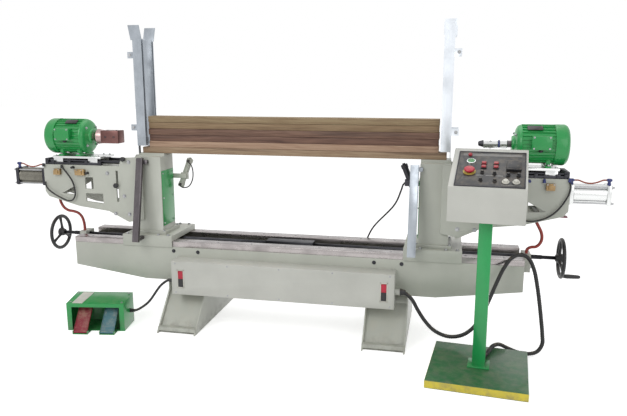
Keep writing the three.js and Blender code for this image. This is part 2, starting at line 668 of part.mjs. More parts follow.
function makeStand() {
  const stand = new THREE.Group();
  stand.position.set(...STAND_PLACE, 0);
  stand.rotation.z = STAND_TURN;
  machine.add(stand);
  const [wide, deep, tall] = BASE_SIZE;
  const pan = cut(
    box(-wide / 2, wide / 2, -deep / 2, deep / 2, 0, tall),
    box(-wide / 2 + SHEET, wide / 2 - SHEET, -deep / 2 + SHEET, deep / 2 - SHEET, -1, tall - SHEET),
  );
  piece("stand_base", pan, DARK_GREEN, stand);
  const side = POLE_SIDE / 2;
  const inside = side - POLE_WALL;
  const bore = (low, high) => box(-inside, inside, POLE_Y - inside, POLE_Y + inside, low, high);
  const pole = cut(
    box(-side, side, POLE_Y - side, POLE_Y + side, tall + GAP, DESK_LOW - GAP),
    bore(tall, DESK_LOW),
  );
  piece("stand_pole", pole, GREEN, stand);

  const half = DESK_WIDTH / 2;
  const outline = [
    [DESK_FRONT[0], DESK_LOW], [DESK_BACK[0] + DESK_CREST, DESK_LOW],
    [DESK_BACK[0] + DESK_CREST, DESK_BACK[1]], DESK_BACK, DESK_FRONT,
  ];
  const wall = DESK_WALL;
  const hollow = [
    [DESK_FRONT[0] + wall, DESK_LOW + wall], [DESK_BACK[0] + DESK_CREST - wall, DESK_LOW + wall],
    [DESK_BACK[0] + DESK_CREST - wall, DESK_BACK[1] - wall], [DESK_BACK[0], DESK_BACK[1] - wall],
    [DESK_FRONT[0] + wall, DESK_FRONT[1] - wall / 2],
  ];
  const cavity = prismAlongX(hollow, -half + wall, half - wall);
  const cableHole = bore(DESK_LOW - 1, DESK_LOW + wall + 1);
  const wells = () => PUSHED.map(([, radius, across, run]) => onSlope(
    post(radius + GAP, -BUTTON_WELL, PANEL_THICK + 2), across, run,
  ));
  const shell = cut(prismAlongX(outline, -half, half), cavity, cableHole, ...wells());
  piece("control_box", shell, PAINT, stand);
  const panel = onSlope(box(...PANEL_X, ...PANEL_RUN, GAP, GAP + PANEL_THICK));
  piece("control_panel", cut(panel, ...wells()), BLACK, stand);

  const [stop, start] = PUSHED;
  const sunk = 2 - BUTTON_WELL + BUTTON_TRAVEL;
  const mushroom = joined(post(stop[1], sunk, 14), post(STOP_HEAD, 12, 24));
  piece("emergency_stop", onSlope(mushroom, stop[2], stop[3]), RED, stand);
  piece("start_button", onSlope(post(start[1], sunk, 11), start[2], start[3]), GREEN, stand);
  for (const [name, across] of Object.entries(DIALS)) {
    const low = PANEL_THICK + 2 * GAP;
    piece(name, onSlope(post(DIAL_RADIUS, low, low + 14), across, DIAL_RUN), PAINT, stand);
  }
}

// ---- Foot switch -------------------------------------------------------------------------
function makeFootSwitch() {
  const foot = new THREE.Group();
  foot.position.set(...PEDAL_PLACE, 0);
  foot.rotation.z = PEDAL_TURN;
  machine.add(foot);
  const [wide, deep] = GUARD_SIZE;
  const half = wide / 2;
  const front = -deep / 2;
  const back = deep / 2;
  const outline = (inset, lowest) => [
    [front + inset, lowest], [back - inset, lowest],
    [back - inset, GUARD_BACK - inset], [front + inset, GUARD_FRONT - inset],
  ];
  const inside = half - GUARD_WALL;
  const shell = cut(
    prismAlongX(outline(0, 0), -half, half),
    prismAlongX(outline(GUARD_WALL, GUARD_WALL), -inside, inside),
    box(-half + GUARD_POST, half - GUARD_POST, front - 1, front + GUARD_WALL + 1, GUARD_WALL, GUARD_FRONT - GUARD_LIP),
  );
  const [hingeY, hingeZ] = HINGE_PLACE;
  const barrelRadius = HINGE_RADIUS + 4;
  const padHalf = PEDAL_WIDTH / 2;
  const ear = padHalf + GAP;
  const hinges = Object.values(PEDALS).map((middle) => joined(
    box(middle - ear - GUARD_WALL, middle + ear + GUARD_WALL, hingeY - 9, front + 10, 0, GUARD_WALL),
    box(middle - ear - GUARD_WALL, middle - ear, hingeY - 9, hingeY + 9, 1, hingeZ + 7),
    box(middle + ear, middle + ear + GUARD_WALL, hingeY - 9, hingeY + 9, 1, hingeZ + 7),
    rodAlongX(HINGE_RADIUS, middle - ear - 1, middle + ear + 1, hingeY, hingeZ, 12),
  ));
  piece("pedal_guard", joined(shell, ...hinges), GREEN, foot);

  const slope = Math.atan2(PAD_TOP[1] - hingeZ, PAD_TOP[0] - hingeY);
  const padLength = Math.hypot(PAD_TOP[1] - hingeZ, PAD_TOP[0] - hingeY);
  const padThick = 10;
  for (const [name, middle] of Object.entries(PEDALS)) {
    const x0 = middle - padHalf;
    const x1 = middle + padHalf;
    const pad = box(x0, x1, -4, padLength, -3, padThick - 3)
      .rotateX(slope)
      .translate(0, hingeY, hingeZ);
    const bore = rodAlongX(HINGE_RADIUS + GAP, x0 - 1, x1 + 1, hingeY, hingeZ, 12);
    const barrel = rodAlongX(barrelRadius, x0, x1, hingeY, hingeZ, 14);
    piece(name, cut(joined(pad, barrel), bore), name === "red_pedal" ? RED : BLUE, foot);
  }
}

// ---- Cords -------------------------------------------------------------------------------
function cord(name, points, radius, steps, look) {
  const route = new THREE.CatmullRomCurve3(points.map((p) => new THREE.Vector3(...p)), false, "centripetal");
  const sides = 8;
  const section = new THREE.Shape(Array.from({ length: sides }, (_, i) => {
    const angle = (i * 2 * Math.PI) / sides;
    return new THREE.Vector2(radius * Math.cos(angle), radius * Math.sin(angle));
  }));
  const tube = new THREE.ExtrudeGeometry(section, { steps, extrudePath: route, bevelEnabled: false });
  piece(name, tube, look, cords);
}

makeBed();
makeLeg("left_leg", -1);
makeLeg("right_leg", 1);
makeElectricalBox();
makeHead("left");
makeHead("right");
makeCrankGrip();
makeCentreBearing();
makeBillets();
makeStand();
makeFootSwitch();
cord("stand_cable", STAND_CABLE, STAND_CABLE_RADIUS, 64, BLACK);
cord("pedal_cable", PEDAL_CABLE, PEDAL_CABLE_RADIUS, 16, BLACK);
cord("clamp_hose", CLAMP_HOSE, CLAMP_HOSE_RADIUS, 26, BLACK);
cord("left_conduit", CONDUIT.left, CONDUIT_RADIUS, 14, HOSE_RED);
cord("right_conduit", CONDUIT.right, CONDUIT_RADIUS, 14, HOSE_RED);

// The part's origin is the middle of the machine's floor box, with the free cords left out.
const extent = new THREE.Box3().setFromObject(machine, true);
const middle = extent.getCenter(new THREE.Vector3());
for (const group of [machine, cords]) {
  group.position.set(-middle.x, -middle.y, -extent.min.z);
}

const part = new THREE.Group();
part.add(machine, cords);

export default part;
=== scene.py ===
# %% [markdown]
# # A double-ended boring machine
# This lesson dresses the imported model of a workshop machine. Two heads stand on one bed and drill both
# ends of the timber that waits between them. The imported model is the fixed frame: its pieces never move,
# so every new piece takes its place from the frame's own sizes, in metres.

# %% The fixed frame
import math

import bmesh
import bpy
from mathutils import Matrix, Vector, noise


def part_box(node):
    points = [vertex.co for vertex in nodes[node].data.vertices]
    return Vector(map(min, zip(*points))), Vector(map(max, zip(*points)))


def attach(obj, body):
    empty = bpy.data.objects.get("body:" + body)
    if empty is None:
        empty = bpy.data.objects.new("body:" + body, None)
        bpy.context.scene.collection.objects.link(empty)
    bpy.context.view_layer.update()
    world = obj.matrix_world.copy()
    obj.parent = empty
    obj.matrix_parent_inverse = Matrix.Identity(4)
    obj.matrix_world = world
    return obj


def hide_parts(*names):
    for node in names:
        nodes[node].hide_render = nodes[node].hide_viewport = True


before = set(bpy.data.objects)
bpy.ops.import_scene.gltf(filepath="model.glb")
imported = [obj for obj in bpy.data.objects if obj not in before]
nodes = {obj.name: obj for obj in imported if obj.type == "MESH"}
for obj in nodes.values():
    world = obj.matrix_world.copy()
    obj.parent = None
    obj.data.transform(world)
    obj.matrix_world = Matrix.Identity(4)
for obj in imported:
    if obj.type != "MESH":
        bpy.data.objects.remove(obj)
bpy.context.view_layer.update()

# %% [markdown]
# ## The view
# A camera could be aimed by eye, but this one has a worked-out place: the eye is 1.40 m above the floor,
# three and a half metres in front, turned 12 degrees to the left and tipped 11 degrees down.

# %% Camera
eye = bpy.data.cameras.new("operator_eye")
eye.sensor_width = 36.0
eye.lens = 36.24
camera = bpy.data.objects.new("operator_eye", eye)
camera.location = (0.8838, -3.3019, 1.4)
camera.rotation_euler = (math.radians(90.0 - 11.12), 0.0, math.radians(12.02))
bpy.context.scene.collection.objects.link(camera)
bpy.context.scene.camera = camera
print("lens:", eye.lens, "mm")

# %% [markdown]
# ## Making pieces
# Blender has many ways to make a mesh. Here most pieces are written with bmesh, because a machine is made
# of blocks, turned parts and bolts whose sizes are known. Each maker below adds to one bmesh, and the last
# one turns that bmesh into an object that rides on a body of the frame.

# %% A block with soft edges
BED_Y = 0.198109  # the line down the middle of the bed
HEAD_Y = BED_Y - 0.035  # the line of both spindles
SPINDLE_Z = 1.09
SIDES = {"left": -1.0, "right": 1.0}


def add_block(shape, low, high, edge=0.002, turn=None):
    """A box from corner to corner, with its edges rounded, turned by an optional matrix."""
    low, high = ([min(a, b) for a, b in zip(low, high)], [max(a, b) for a, b in zip(low, high)])
    middle = Vector([(a + b) / 2 for a, b in zip(low, high)])
    size = Vector([b - a for a, b in zip(low, high)])
    made = bmesh.ops.create_cube(shape, size=1.0)["verts"]
    bmesh.ops.scale(shape, vec=size, verts=made)
    if edge > 0.0:
        rims = list({e for v in made for e in v.link_edges})
        width = min(edge, 0.45 * min(size))
        made = list({v for f in bmesh.ops.bevel(
            shape, geom=rims, offset=width, segments=2, profile=0.5, affect="EDGES",
        )["faces"] for v in f.verts} | {v for v in made if v.is_valid})
    if turn is not None:
        bmesh.ops.transform(shape, matrix=turn, verts=made)
    bmesh.ops.translate(shape, vec=middle, verts=made)
    return made


# %% A turned part
def axis_frame(start, direction):
    """A matrix that carries +Z onto a direction and the origin onto a start."""
    return Matrix.Translation(start) @ Vector(direction).to_track_quat("Z", "Y").to_matrix().to_4x4()


def add_turned(shape, start, direction, profile, sides=40):
    """A closed outline of (distance along, radius) spun round a line. It starts and ends on the line."""
    place = axis_frame(start, direction)
    rings = []
    for along, radius in profile:
        if radius < 1e-6:
            rings.append([shape.verts.new(place @ Vector((0, 0, along)))])
            continue
        ring = []
        for i in range(sides):
            angle = 2 * math.pi * i / sides
            ring.append(shape.verts.new(
                place @ Vector((radius * math.cos(angle), radius * math.sin(angle), along))
            ))
        rings.append(ring)
    for a, b in zip(rings, rings[1:]):
        for i in range(sides):
            j = (i + 1) % sides
            corners = [a[i % len(a)], a[j % len(a)], b[j % len(b)], b[i % len(b)]]
            unique = [c for n, c in enumerate(corners) if c not in corners[:n]]
            if len(unique) > 2:
                shape.faces.new(unique)


def rod_profile(length, radius, edge=0.001):
    """The outline of a plain rod with broken edges."""
    edge = min(edge, 0.4 * radius, 0.4 * length)
    return [
        (0, 0), (0, radius - edge), (edge, radius), (length - edge, radius), (length, radius - edge),
        (length, 0),
    ]


# %% A bolt
def add_bolt(shape, at, direction, across=0.013, tall=0.007):
    """A washer with a hexagon head that has a chamfered top."""
    half = across / 2 * 1.1547
    add_turned(shape, at, direction, [(0, 0), (0, half * 1.35), (0.0014, half * 1.35), (0.0014, 0)], 20)
    add_turned(shape, at, direction, [
        (0.0014, 0), (0.0014, half), (tall - 0.001, half), (tall, half * 0.86), (tall, 0),
    ], 6)


# %% A swept tube
def smooth_route(points, per=6):
    """A centripetal curve through points, cut into short straight steps."""
    points = [Vector(p) for p in points]
    ends = [2 * points[0] - points[1], *points, 2 * points[-1] - points[-2]]
    route = []
    for i in range(len(points) - 1):
        a, b, c, d = ends[i:i + 4]
        t0 = max((b - a).length, 1e-6) ** 0.5
        t1 = max((c - b).length, 1e-6) ** 0.5
        t2 = max((d - c).length, 1e-6) ** 0.5
        leave = ((b - a) / t0 - (c - a) / (t0 + t1) + (c - b) / t1) * t1
        arrive = ((c - b) / t1 - (d - b) / (t1 + t2) + (d - c) / t2) * t1
        for step in range(per):
            s = step / per
            route.append(
                b * (2 * s**3 - 3 * s**2 + 1) + leave * (s**3 - 2 * s**2 + s)
                + c * (3 * s**2 - 2 * s**3) + arrive * (s**3 - s**2)
            )
    route.append(points[-1])
    return route


def route_length(route):
    return sum((b - a).length for a, b in zip(route, route[1:]))


def evenly(route, step):
    """The same line with points a fixed step apart."""
    total = route_length(route)
    count = max(2, round(total / step))
    wanted = [total * i / count for i in range(count + 1)]
    out, done, k = [], 0.0, 0
    for a, b in zip(route, route[1:]):
        span = (b - a).length
        while k < len(wanted) - 1 and wanted[k] <= done + span + 1e-12:
            out.append(a.lerp(b, (wanted[k] - done) / span if span else 0.0))
            k += 1
        done += span
    out.append(route[-1].copy())
    return out


def add_tube(shape, route, radius_at, sides=12):
    """A tube along a route. radius_at gives its radius at each distance from the start."""
    along, normal, last, rings = 0.0, None, None, []
    for i, point in enumerate(route):
        ahead = (route[min(i + 1, len(route) - 1)] - route[max(i - 1, 0)]).normalized()
        if normal is None:
            normal = ahead.orthogonal().normalized()
        normal = (normal - ahead * normal.dot(ahead)).normalized()
        side = ahead.cross(normal)
        along += (point - last).length if last is not None else 0.0
        last = point
        radius = radius_at(along)
        rings.append([shape.verts.new(point + radius * (
            normal * math.cos(2 * math.pi * k / sides) + side * math.sin(2 * math.pi * k / sides)
        )) for k in range(sides)])
    for a, b in zip(rings, rings[1:]):
        for k in range(sides):
            n = (k + 1) % sides
            shape.faces.new((a[k], a[n], b[n], b[k]))
    shape.faces.new(rings[0][::-1])
    shape.faces.new(rings[-1])


# %% From bmesh to a riding piece
def finish_piece(shape, name, body, look, sharp=35.0, stands_for=()):
    """Makes the object, smooths what isn't a real corner, and lets it ride."""
    bmesh.ops.recalc_face_normals(shape, faces=shape.faces)
    mesh = bpy.data.meshes.new(name)
    shape.to_mesh(mesh)
    shape.free()
    mesh.shade_smooth()
    mesh.set_sharp_from_angle(angle=math.radians(sharp))
    piece = bpy.data.objects.new(name, mesh)
    bpy.context.scene.collection.objects.link(piece)
    piece.data.materials.append(look)
    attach(piece, body)
    if stands_for:
        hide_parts(*stands_for)
    return piece


def turned_piece(name, body, look, start, direction, profile, sides=40, sharp=35.0, stands_for=()):
    """One turned part that is a piece on its own."""
    shape = bmesh.new()
    add_turned(shape, start, direction, profile, sides)
    return finish_piece(shape, name, body, look, sharp, stands_for)


print("makers ready")

# %% [markdown]
# ## Wear and dirt, made once
# Many finishes share the same effects, so each effect is a node group with named inputs and outputs. A
# group puts out only masks and colours. The shader itself stays in each material. The first group finds
# worn edges: a Bevel node rounds the normals, and where they differ from the true ones there is an edge.

# %% A short way to write node groups
def start_group(name, numbers=(), colours=(), outs=("Mask",), colour_outs=()):
    """An empty group with its sockets. Returns the tree, its input node and its output node."""
    tree = bpy.data.node_groups.new(name, "ShaderNodeTree")
    for label, value in numbers:
        socket = tree.interface.new_socket(label, in_out="INPUT", socket_type="NodeSocketFloat")
        socket.default_value = value
    for label, value in colours:
        socket = tree.interface.new_socket(label, in_out="INPUT", socket_type="NodeSocketColor")
        socket.default_value = (*value, 1.0)
    for label in outs:
        tree.interface.new_socket(label, in_out="OUTPUT", socket_type="NodeSocketFloat")
    for label in colour_outs:
        tree.interface.new_socket(label, in_out="OUTPUT", socket_type="NodeSocketColor")
    return tree, tree.nodes.new("NodeGroupInput"), tree.nodes.new("NodeGroupOutput")


def math_node(tree, kind, a, b=None, clamp=False):
    """A Math node. Each side is a number or a socket."""
    node = tree.nodes.new("ShaderNodeMath")
    node.operation = kind
    node.use_clamp = clamp
    for slot_number, side in enumerate((a, b)):
        if side is None:
            continue
        if isinstance(side, (int, float)):
            node.inputs[slot_number].default_value = side
        else:
            tree.links.new(side, node.inputs[slot_number])
    return node.outputs[0]


def noise_node(tree, vector, scale, detail=4.0, rough=0.55):
    node = tree.nodes.new("ShaderNodeTexNoise")
    node.inputs["Detail"].default_value = detail
    node.inputs["Roughness"].default_value = rough
    tree.links.new(vector, node.inputs["Vector"])
    if isinstance(scale, (int, float)):
        node.inputs["Scale"].default_value = scale
    else:
        tree.links.new(scale, node.inputs["Scale"])
    return node.outputs["Fac"]


def band(tree, value, low, high):
    """0 below low, 1 above high, smooth between."""
    node = tree.nodes.new("ShaderNodeMapRange")
    node.interpolation_type = "SMOOTHSTEP"
    tree.links.new(value, node.inputs["Value"])
    node.inputs["From Min"].default_value = low
    node.inputs["From Max"].default_value = high
    return node.outputs["Result"]


def mix_colour(tree, amount, a, b):
    """A colour between a and b. Each is three numbers or a socket."""
    node = tree.nodes.new("ShaderNodeMix")
    node.data_type = "RGBA"
    for socket, value in ((node.inputs["Factor"], amount), (node.inputs["A"], a), (node.inputs["B"], b)):
        if isinstance(value, tuple):
            socket.default_value = (*value, 1.0)
        elif isinstance(value, (int, float)):
            socket.default_value = value
        else:
            tree.links.new(value, socket)
    return node.outputs["Result"]


def object_point(tree):
    return tree.nodes.new("ShaderNodeTexCoord").outputs["Object"]


# %% Group: worn edges
edges, g_in, g_out = start_group("worn_edges", [("Width", 0.002), ("Amount", 0.5), ("Patch Scale", 30.0)])
rounded = edges.nodes.new("ShaderNodeBevel")
rounded.samples = 4
edges.links.new(g_in.outputs["Width"], rounded.inputs["Radius"])
true_normal = edges.nodes.new("ShaderNodeNewGeometry").outputs["Normal"]
dot = edges.nodes.new("ShaderNodeVectorMath")
dot.operation = "DOT_PRODUCT"
edges.links.new(rounded.outputs["Normal"], dot.inputs[0])
edges.links.new(true_normal, dot.inputs[1])
turned = math_node(edges, "SUBTRACT", 1.0, dot.outputs["Value"])
patches = noise_node(edges, object_point(edges), g_in.outputs["Patch Scale"], 5.0, 0.65)
chipped = math_node(edges, "MULTIPLY", band(edges, turned, 0.015, 0.12), band(edges, patches, 0.42, 0.62))
edges.links.new(math_node(edges, "MULTIPLY", chipped, g_in.outputs["Amount"], True), g_out.inputs["Mask"])
print("group:", edges.name)

# %% Group: cloudy variation
cloud, g_in, g_out = start_group("cloudy", [("Scale", 3.0), ("Fine Scale", 60.0)], outs=("Mask", "Fine"))
spot = object_point(cloud)
cloud.links.new(
    band(cloud, noise_node(cloud, spot, g_in.outputs["Scale"], 5.0, 0.6), 0.3, 0.7), g_out.inputs["Mask"],
)
cloud.links.new(noise_node(cloud, spot, g_in.outputs["Fine Scale"], 3.0, 0.5), g_out.inputs["Fine"])
print("group:", cloud.name)

# %% Group: sawdust on what faces up, and grime low down
dust, g_in, g_out = start_group("settled_dust", [("Amount", 0.4), ("Scale", 14.0)], outs=("Mask", "Grime"))
geometry = dust.nodes.new("ShaderNodeNewGeometry")
parts = dust.nodes.new("ShaderNodeSeparateXYZ")
dust.links.new(geometry.outputs["Normal"], parts.inputs[0])
facing_up = band(dust, parts.outputs["Z"], 0.35, 0.95)
clumps = band(dust, noise_node(dust, object_point(dust), g_in.outputs["Scale"], 6.0, 0.7), 0.42, 0.68)
dust.links.new(math_node(
    dust, "MULTIPLY", math_node(dust, "MULTIPLY", facing_up, clumps), g_in.outputs["Amount"], True,
), g_out.inputs["Mask"])
height = dust.nodes.new("ShaderNodeSeparateXYZ")
dust.links.new(geometry.outputs["Position"], height.inputs[0])
low_down = math_node(dust, "SUBTRACT", 1.0, band(dust, height.outputs["Z"], 0.0, 0.09))
smear = band(dust, noise_node(dust, object_point(dust), 22.0, 5.0, 0.65), 0.35, 0.7)
dust.links.new(math_node(dust, "MULTIPLY", low_down, smear, True), g_out.inputs["Grime"])
print("group:", dust.name)

# %% Group: machining marks, fine lines stretched along one direction
marks, g_in, g_out = start_group("machining_marks", [
    ("Along X", 4.0), ("Along Y", 260.0), ("Along Z", 260.0),
], outs=("Lines", "Stain"))
stretch = marks.nodes.new("ShaderNodeCombineXYZ")
for label, axis in (("Along X", "X"), ("Along Y", "Y"), ("Along Z", "Z")):
    marks.links.new(g_in.outputs[label], stretch.inputs[axis])
scaled = marks.nodes.new("ShaderNodeVectorMath")
scaled.operation = "MULTIPLY"
marks.links.new(object_point(marks), scaled.inputs[0])
marks.links.new(stretch.outputs[0], scaled.inputs[1])
marks.links.new(noise_node(marks, scaled.outputs[0], 1.0, 6.0, 0.7), g_out.inputs["Lines"])
marks.links.new(
    band(marks, noise_node(marks, object_point(marks), 9.0, 5.0, 0.6), 0.35, 0.75), g_out.inputs["Stain"],
)
print("group:", marks.name)

# %% [markdown]
# ## Finishes
# A new material starts here with its Principled shader. Values that are the same all over go straight on
# the shader's sockets, and only what changes over the surface comes through nodes.

# %% Starting a material
def start_finish(name, metallic, roughness, coat=0.0, specular=0.5):
    look = bpy.data.materials.new(name)
    look.use_nodes = True
    tree = look.node_tree
    shader = tree.nodes["Principled BSDF"]
    shader.inputs["Metallic"].default_value = metallic
    shader.inputs["Roughness"].default_value = roughness
    shader.inputs["Coat Weight"].default_value = coat
    shader.inputs["Specular IOR Level"].default_value = specular
    return look, tree, shader


def place_group(tree, group, **values):
    node = tree.nodes.new("ShaderNodeGroup")
    node.node_tree = group
    for label, value in values.items():
        node.inputs[label.replace("_", " ")].default_value = value
    return node


def set_roughness(tree, shader, mask, low, high):
    node = tree.nodes.new("ShaderNodeMapRange")
    tree.links.new(mask, node.inputs["Value"])
    node.inputs["To Min"].default_value = low
    node.inputs["To Max"].default_value = high
    tree.links.new(node.outputs["Result"], shader.inputs["Roughness"])


def set_bump(tree, shader, height, strength, distance=0.001):
    node = tree.nodes.new("ShaderNodeBump")
    node.inputs["Strength"].default_value = strength
    node.inputs["Distance"].default_value = distance
    tree.links.new(height, node.inputs["Height"])
    tree.links.new(node.outputs["Normal"], shader.inputs["Normal"])


# %% [markdown]
# Machine enamel is thick and a little lumpy, like orange peel. It chips to primer and steel on edges, picks
# up sawdust on top, and goes grey near the floor.

# %% Enamel
SAWDUST = (0.62, 0.5, 0.34)
FLOOR_GRIME = (0.16, 0.145, 0.125)


def enamel(name, paint, chip, roughness=0.38, wear=0.5, dusty=0.12, coat=0.15):
    look, tree, shader = start_finish(name, 0.0, roughness, coat)
    clouds = place_group(tree, cloud, Scale=2.4, Fine_Scale=190.0)
    darker = tuple(0.86 * c for c in paint)
    colour = mix_colour(tree, clouds.outputs["Mask"], paint, darker)
    settled = place_group(tree, dust, Amount=dusty, Scale=16.0)
    colour = mix_colour(tree, settled.outputs["Mask"], colour, SAWDUST)
    grime = math_node(tree, "MULTIPLY", settled.outputs["Grime"], 0.55)
    colour = mix_colour(tree, grime, colour, FLOOR_GRIME)
    rub = place_group(tree, edges, Width=0.0022, Amount=wear, Patch_Scale=34.0)
    colour = mix_colour(tree, rub.outputs["Mask"], colour, chip)
    tree.links.new(colour, shader.inputs["Base Color"])
    set_roughness(tree, shader, clouds.outputs["Fine"], roughness - 0.08, roughness + 0.14)
    set_bump(tree, shader, clouds.outputs["Fine"], 0.12)
    return look


warm_grey = enamel("warm_grey_enamel", (0.5, 0.515, 0.455), (0.3, 0.3, 0.28))
pale_grey = enamel("pale_grey_enamel", (0.56, 0.565, 0.52), (0.34, 0.34, 0.32), wear=0.35)
bright_green = enamel("bright_green_enamel", (0.008, 0.315, 0.065), (0.1, 0.22, 0.1), 0.32, 0.4, 0.08, 0.3)
deep_green = enamel("deep_green_enamel", (0.01, 0.135, 0.035), (0.1, 0.16, 0.1), 0.42, 0.5, 0.1)
pole_green = enamel("pole_green_enamel", (0.012, 0.34, 0.085), (0.12, 0.24, 0.14), 0.34, 0.3, 0.08, 0.3)
edge_yellow = enamel("edge_yellow_enamel", (0.72, 0.6, 0.05), (0.2, 0.18, 0.1), 0.45, 0.8, 0.2)
print("enamels:", warm_grey.name, bright_green.name, deep_green.name)

# %% [markdown]
# Bare metal shows how it was made: a ground way has long fine lines, a turned part has rings, and zinc
# sheet is cloudy. All three come from the same marks group with other stretch values.

# %% Bare metals
def bare_metal(name, tint, shade, roughness, along, stain=0.4, bump=0.08):
    look, tree, shader = start_finish(name, 1.0, roughness)
    lines = place_group(tree, marks, Along_X=along[0], Along_Y=along[1], Along_Z=along[2])
    colour = mix_colour(tree, lines.outputs["Lines"], shade, tint)
    smear = math_node(tree, "MULTIPLY", lines.outputs["Stain"], stain)
    colour = mix_colour(tree, smear, colour, tuple(0.6 * c for c in shade))
    rub = place_group(tree, edges, Width=0.0015, Amount=0.5, Patch_Scale=50.0)
    colour = mix_colour(tree, rub.outputs["Mask"], colour, tuple(min(1.0, 1.25 * c) for c in tint))
    tree.links.new(colour, shader.inputs["Base Color"])
    set_roughness(tree, shader, lines.outputs["Stain"], roughness - 0.06, roughness + 0.12)
    set_bump(tree, shader, lines.outputs["Lines"], bump, 0.0005)
    return look


way_steel = bare_metal("ground_way_steel", (0.5, 0.47, 0.46), (0.26, 0.235, 0.235), 0.3, (3, 300, 300), 0.5)
dark_steel = bare_metal(
    "oiled_dark_steel", (0.2, 0.185, 0.195), (0.07, 0.06, 0.065), 0.4, (200, 200, 5), 0.4,
)
black_steel = bare_metal(
    "blackened_steel", (0.085, 0.085, 0.095), (0.03, 0.03, 0.035), 0.42, (240, 8, 8), 0.3,
)
zinc_sheet = bare_metal(
    "bright_zinc_sheet", (0.8, 0.83, 0.87), (0.62, 0.66, 0.71), 0.34, (90, 90, 7), 0.25, 0.04,
)
# Duller zinc: the right chute rail's own grey-blue sheet, and on the left magazine rails a darker copy of the
# bright zinc, as painted shade.
dull_and_shaded_zinc = bare_metal(
    "dull_and_shaded_zinc_sheet", (0.44, 0.47, 0.51), (0.27, 0.3, 0.33), 0.42, (90, 90, 9), 0.4, 0.05,
)
bright_alloy = bare_metal("bright_alloy", (0.8, 0.81, 0.8), (0.6, 0.61, 0.61), 0.27, (4, 200, 200), 0.12)
dark_alloy = bare_metal("bronze_alloy", (0.27, 0.26, 0.22), (0.12, 0.115, 0.1), 0.38, (4, 160, 160), 0.4)
cutter_steel = bare_metal(
    "brown_cutter_steel", (0.25, 0.135, 0.12), (0.1, 0.045, 0.045), 0.36, (12, 160, 12), 0.4,
)
pink_steel = bare_metal(
    "warm_turned_steel", (0.62, 0.47, 0.45), (0.36, 0.24, 0.24), 0.3, (240, 12, 12), 0.3,
)
brass = bare_metal("aged_brass", (0.46, 0.33, 0.17), (0.26, 0.17, 0.09), 0.38, (60, 60, 60), 0.4)
zinc_bolt = bare_metal("zinc_bolt", (0.5, 0.51, 0.52), (0.32, 0.32, 0.33), 0.36, (120, 120, 120), 0.3)
print("bare metals made")

# %% [markdown]
# Plastic and rubber have one colour all through. What shows is the fine grain of the mould, a paler rub on
# edges, and dust on faces that point up.

# %% Plastics and rubbers
def moulded(name, colour, roughness, grain=420.0, dusty=0.15, bump=0.15):
    look, tree, shader = start_finish(name, 0.0, roughness)
    clouds = place_group(tree, cloud, Scale=8.0, Fine_Scale=grain)
    shade = tuple(0.78 * c for c in colour)
    tone = mix_colour(tree, clouds.outputs["Mask"], colour, shade)
    settled = place_group(tree, dust, Amount=dusty, Scale=24.0)
    tone = mix_colour(tree, settled.outputs["Mask"], tone, SAWDUST)
    rub = place_group(tree, edges, Width=0.001, Amount=0.3, Patch_Scale=60.0)
    tone = mix_colour(tree, rub.outputs["Mask"], tone, tuple(min(1.0, 0.06 + 1.3 * c) for c in colour))
    tree.links.new(tone, shader.inputs["Base Color"])
    set_roughness(tree, shader, clouds.outputs["Fine"], roughness - 0.06, roughness + 0.12)
    set_bump(tree, shader, clouds.outputs["Fine"], bump, 0.0004)
    return look


black_moulding = moulded("black_moulding", (0.016, 0.016, 0.018), 0.42)
black_rubber = moulded("black_rubber", (0.014, 0.014, 0.015), 0.55, 260.0, 0.3)
panel_black = moulded("panel_black", (0.012, 0.012, 0.014), 0.3, 500.0, 0.12, 0.05)
red_moulding = moulded("red_moulding", (0.52, 0.015, 0.045), 0.34)
lamp_red = moulded("lamp_red", (0.42, 0.015, 0.03), 0.2)
green_moulding = moulded("green_moulding", (0.012, 0.26, 0.07), 0.32)
ivory_moulding = moulded("ivory_moulding", (0.7, 0.69, 0.62), 0.36)
ring_yellow = moulded("ring_yellow", (0.55, 0.42, 0.07), 0.4)
label_grey = moulded("label_grey", (0.2, 0.2, 0.2), 0.5)
red_pad = moulded("red_pad", (0.26, 0.012, 0.03), 0.5, 240.0, 0.5)
blue_pad = moulded("blue_pad", (0.075, 0.2, 0.235), 0.5, 240.0, 0.5)
hose_red = moulded("hose_red", (0.36, 0.045, 0.032), 0.42, 300.0, 0.2)
hose_maroon = moulded("hose_maroon", (0.2, 0.022, 0.045), 0.45, 300.0, 0.2)
tube_brown = moulded("tube_brown", (0.36, 0.085, 0.05), 0.32, 300.0, 0.1)
fitting_blue = moulded("fitting_blue", (0.035, 0.05, 0.2), 0.35)
print("plastics and rubbers made")

# %% [markdown]
# Timber is the hardest finish. Each board has its own two tones. Its grain is noise stretched along the
# board, bent by a slower noise, with a few dark streaks. The ends show rings instead, so a mask made from
# the surface normal picks the ends out.

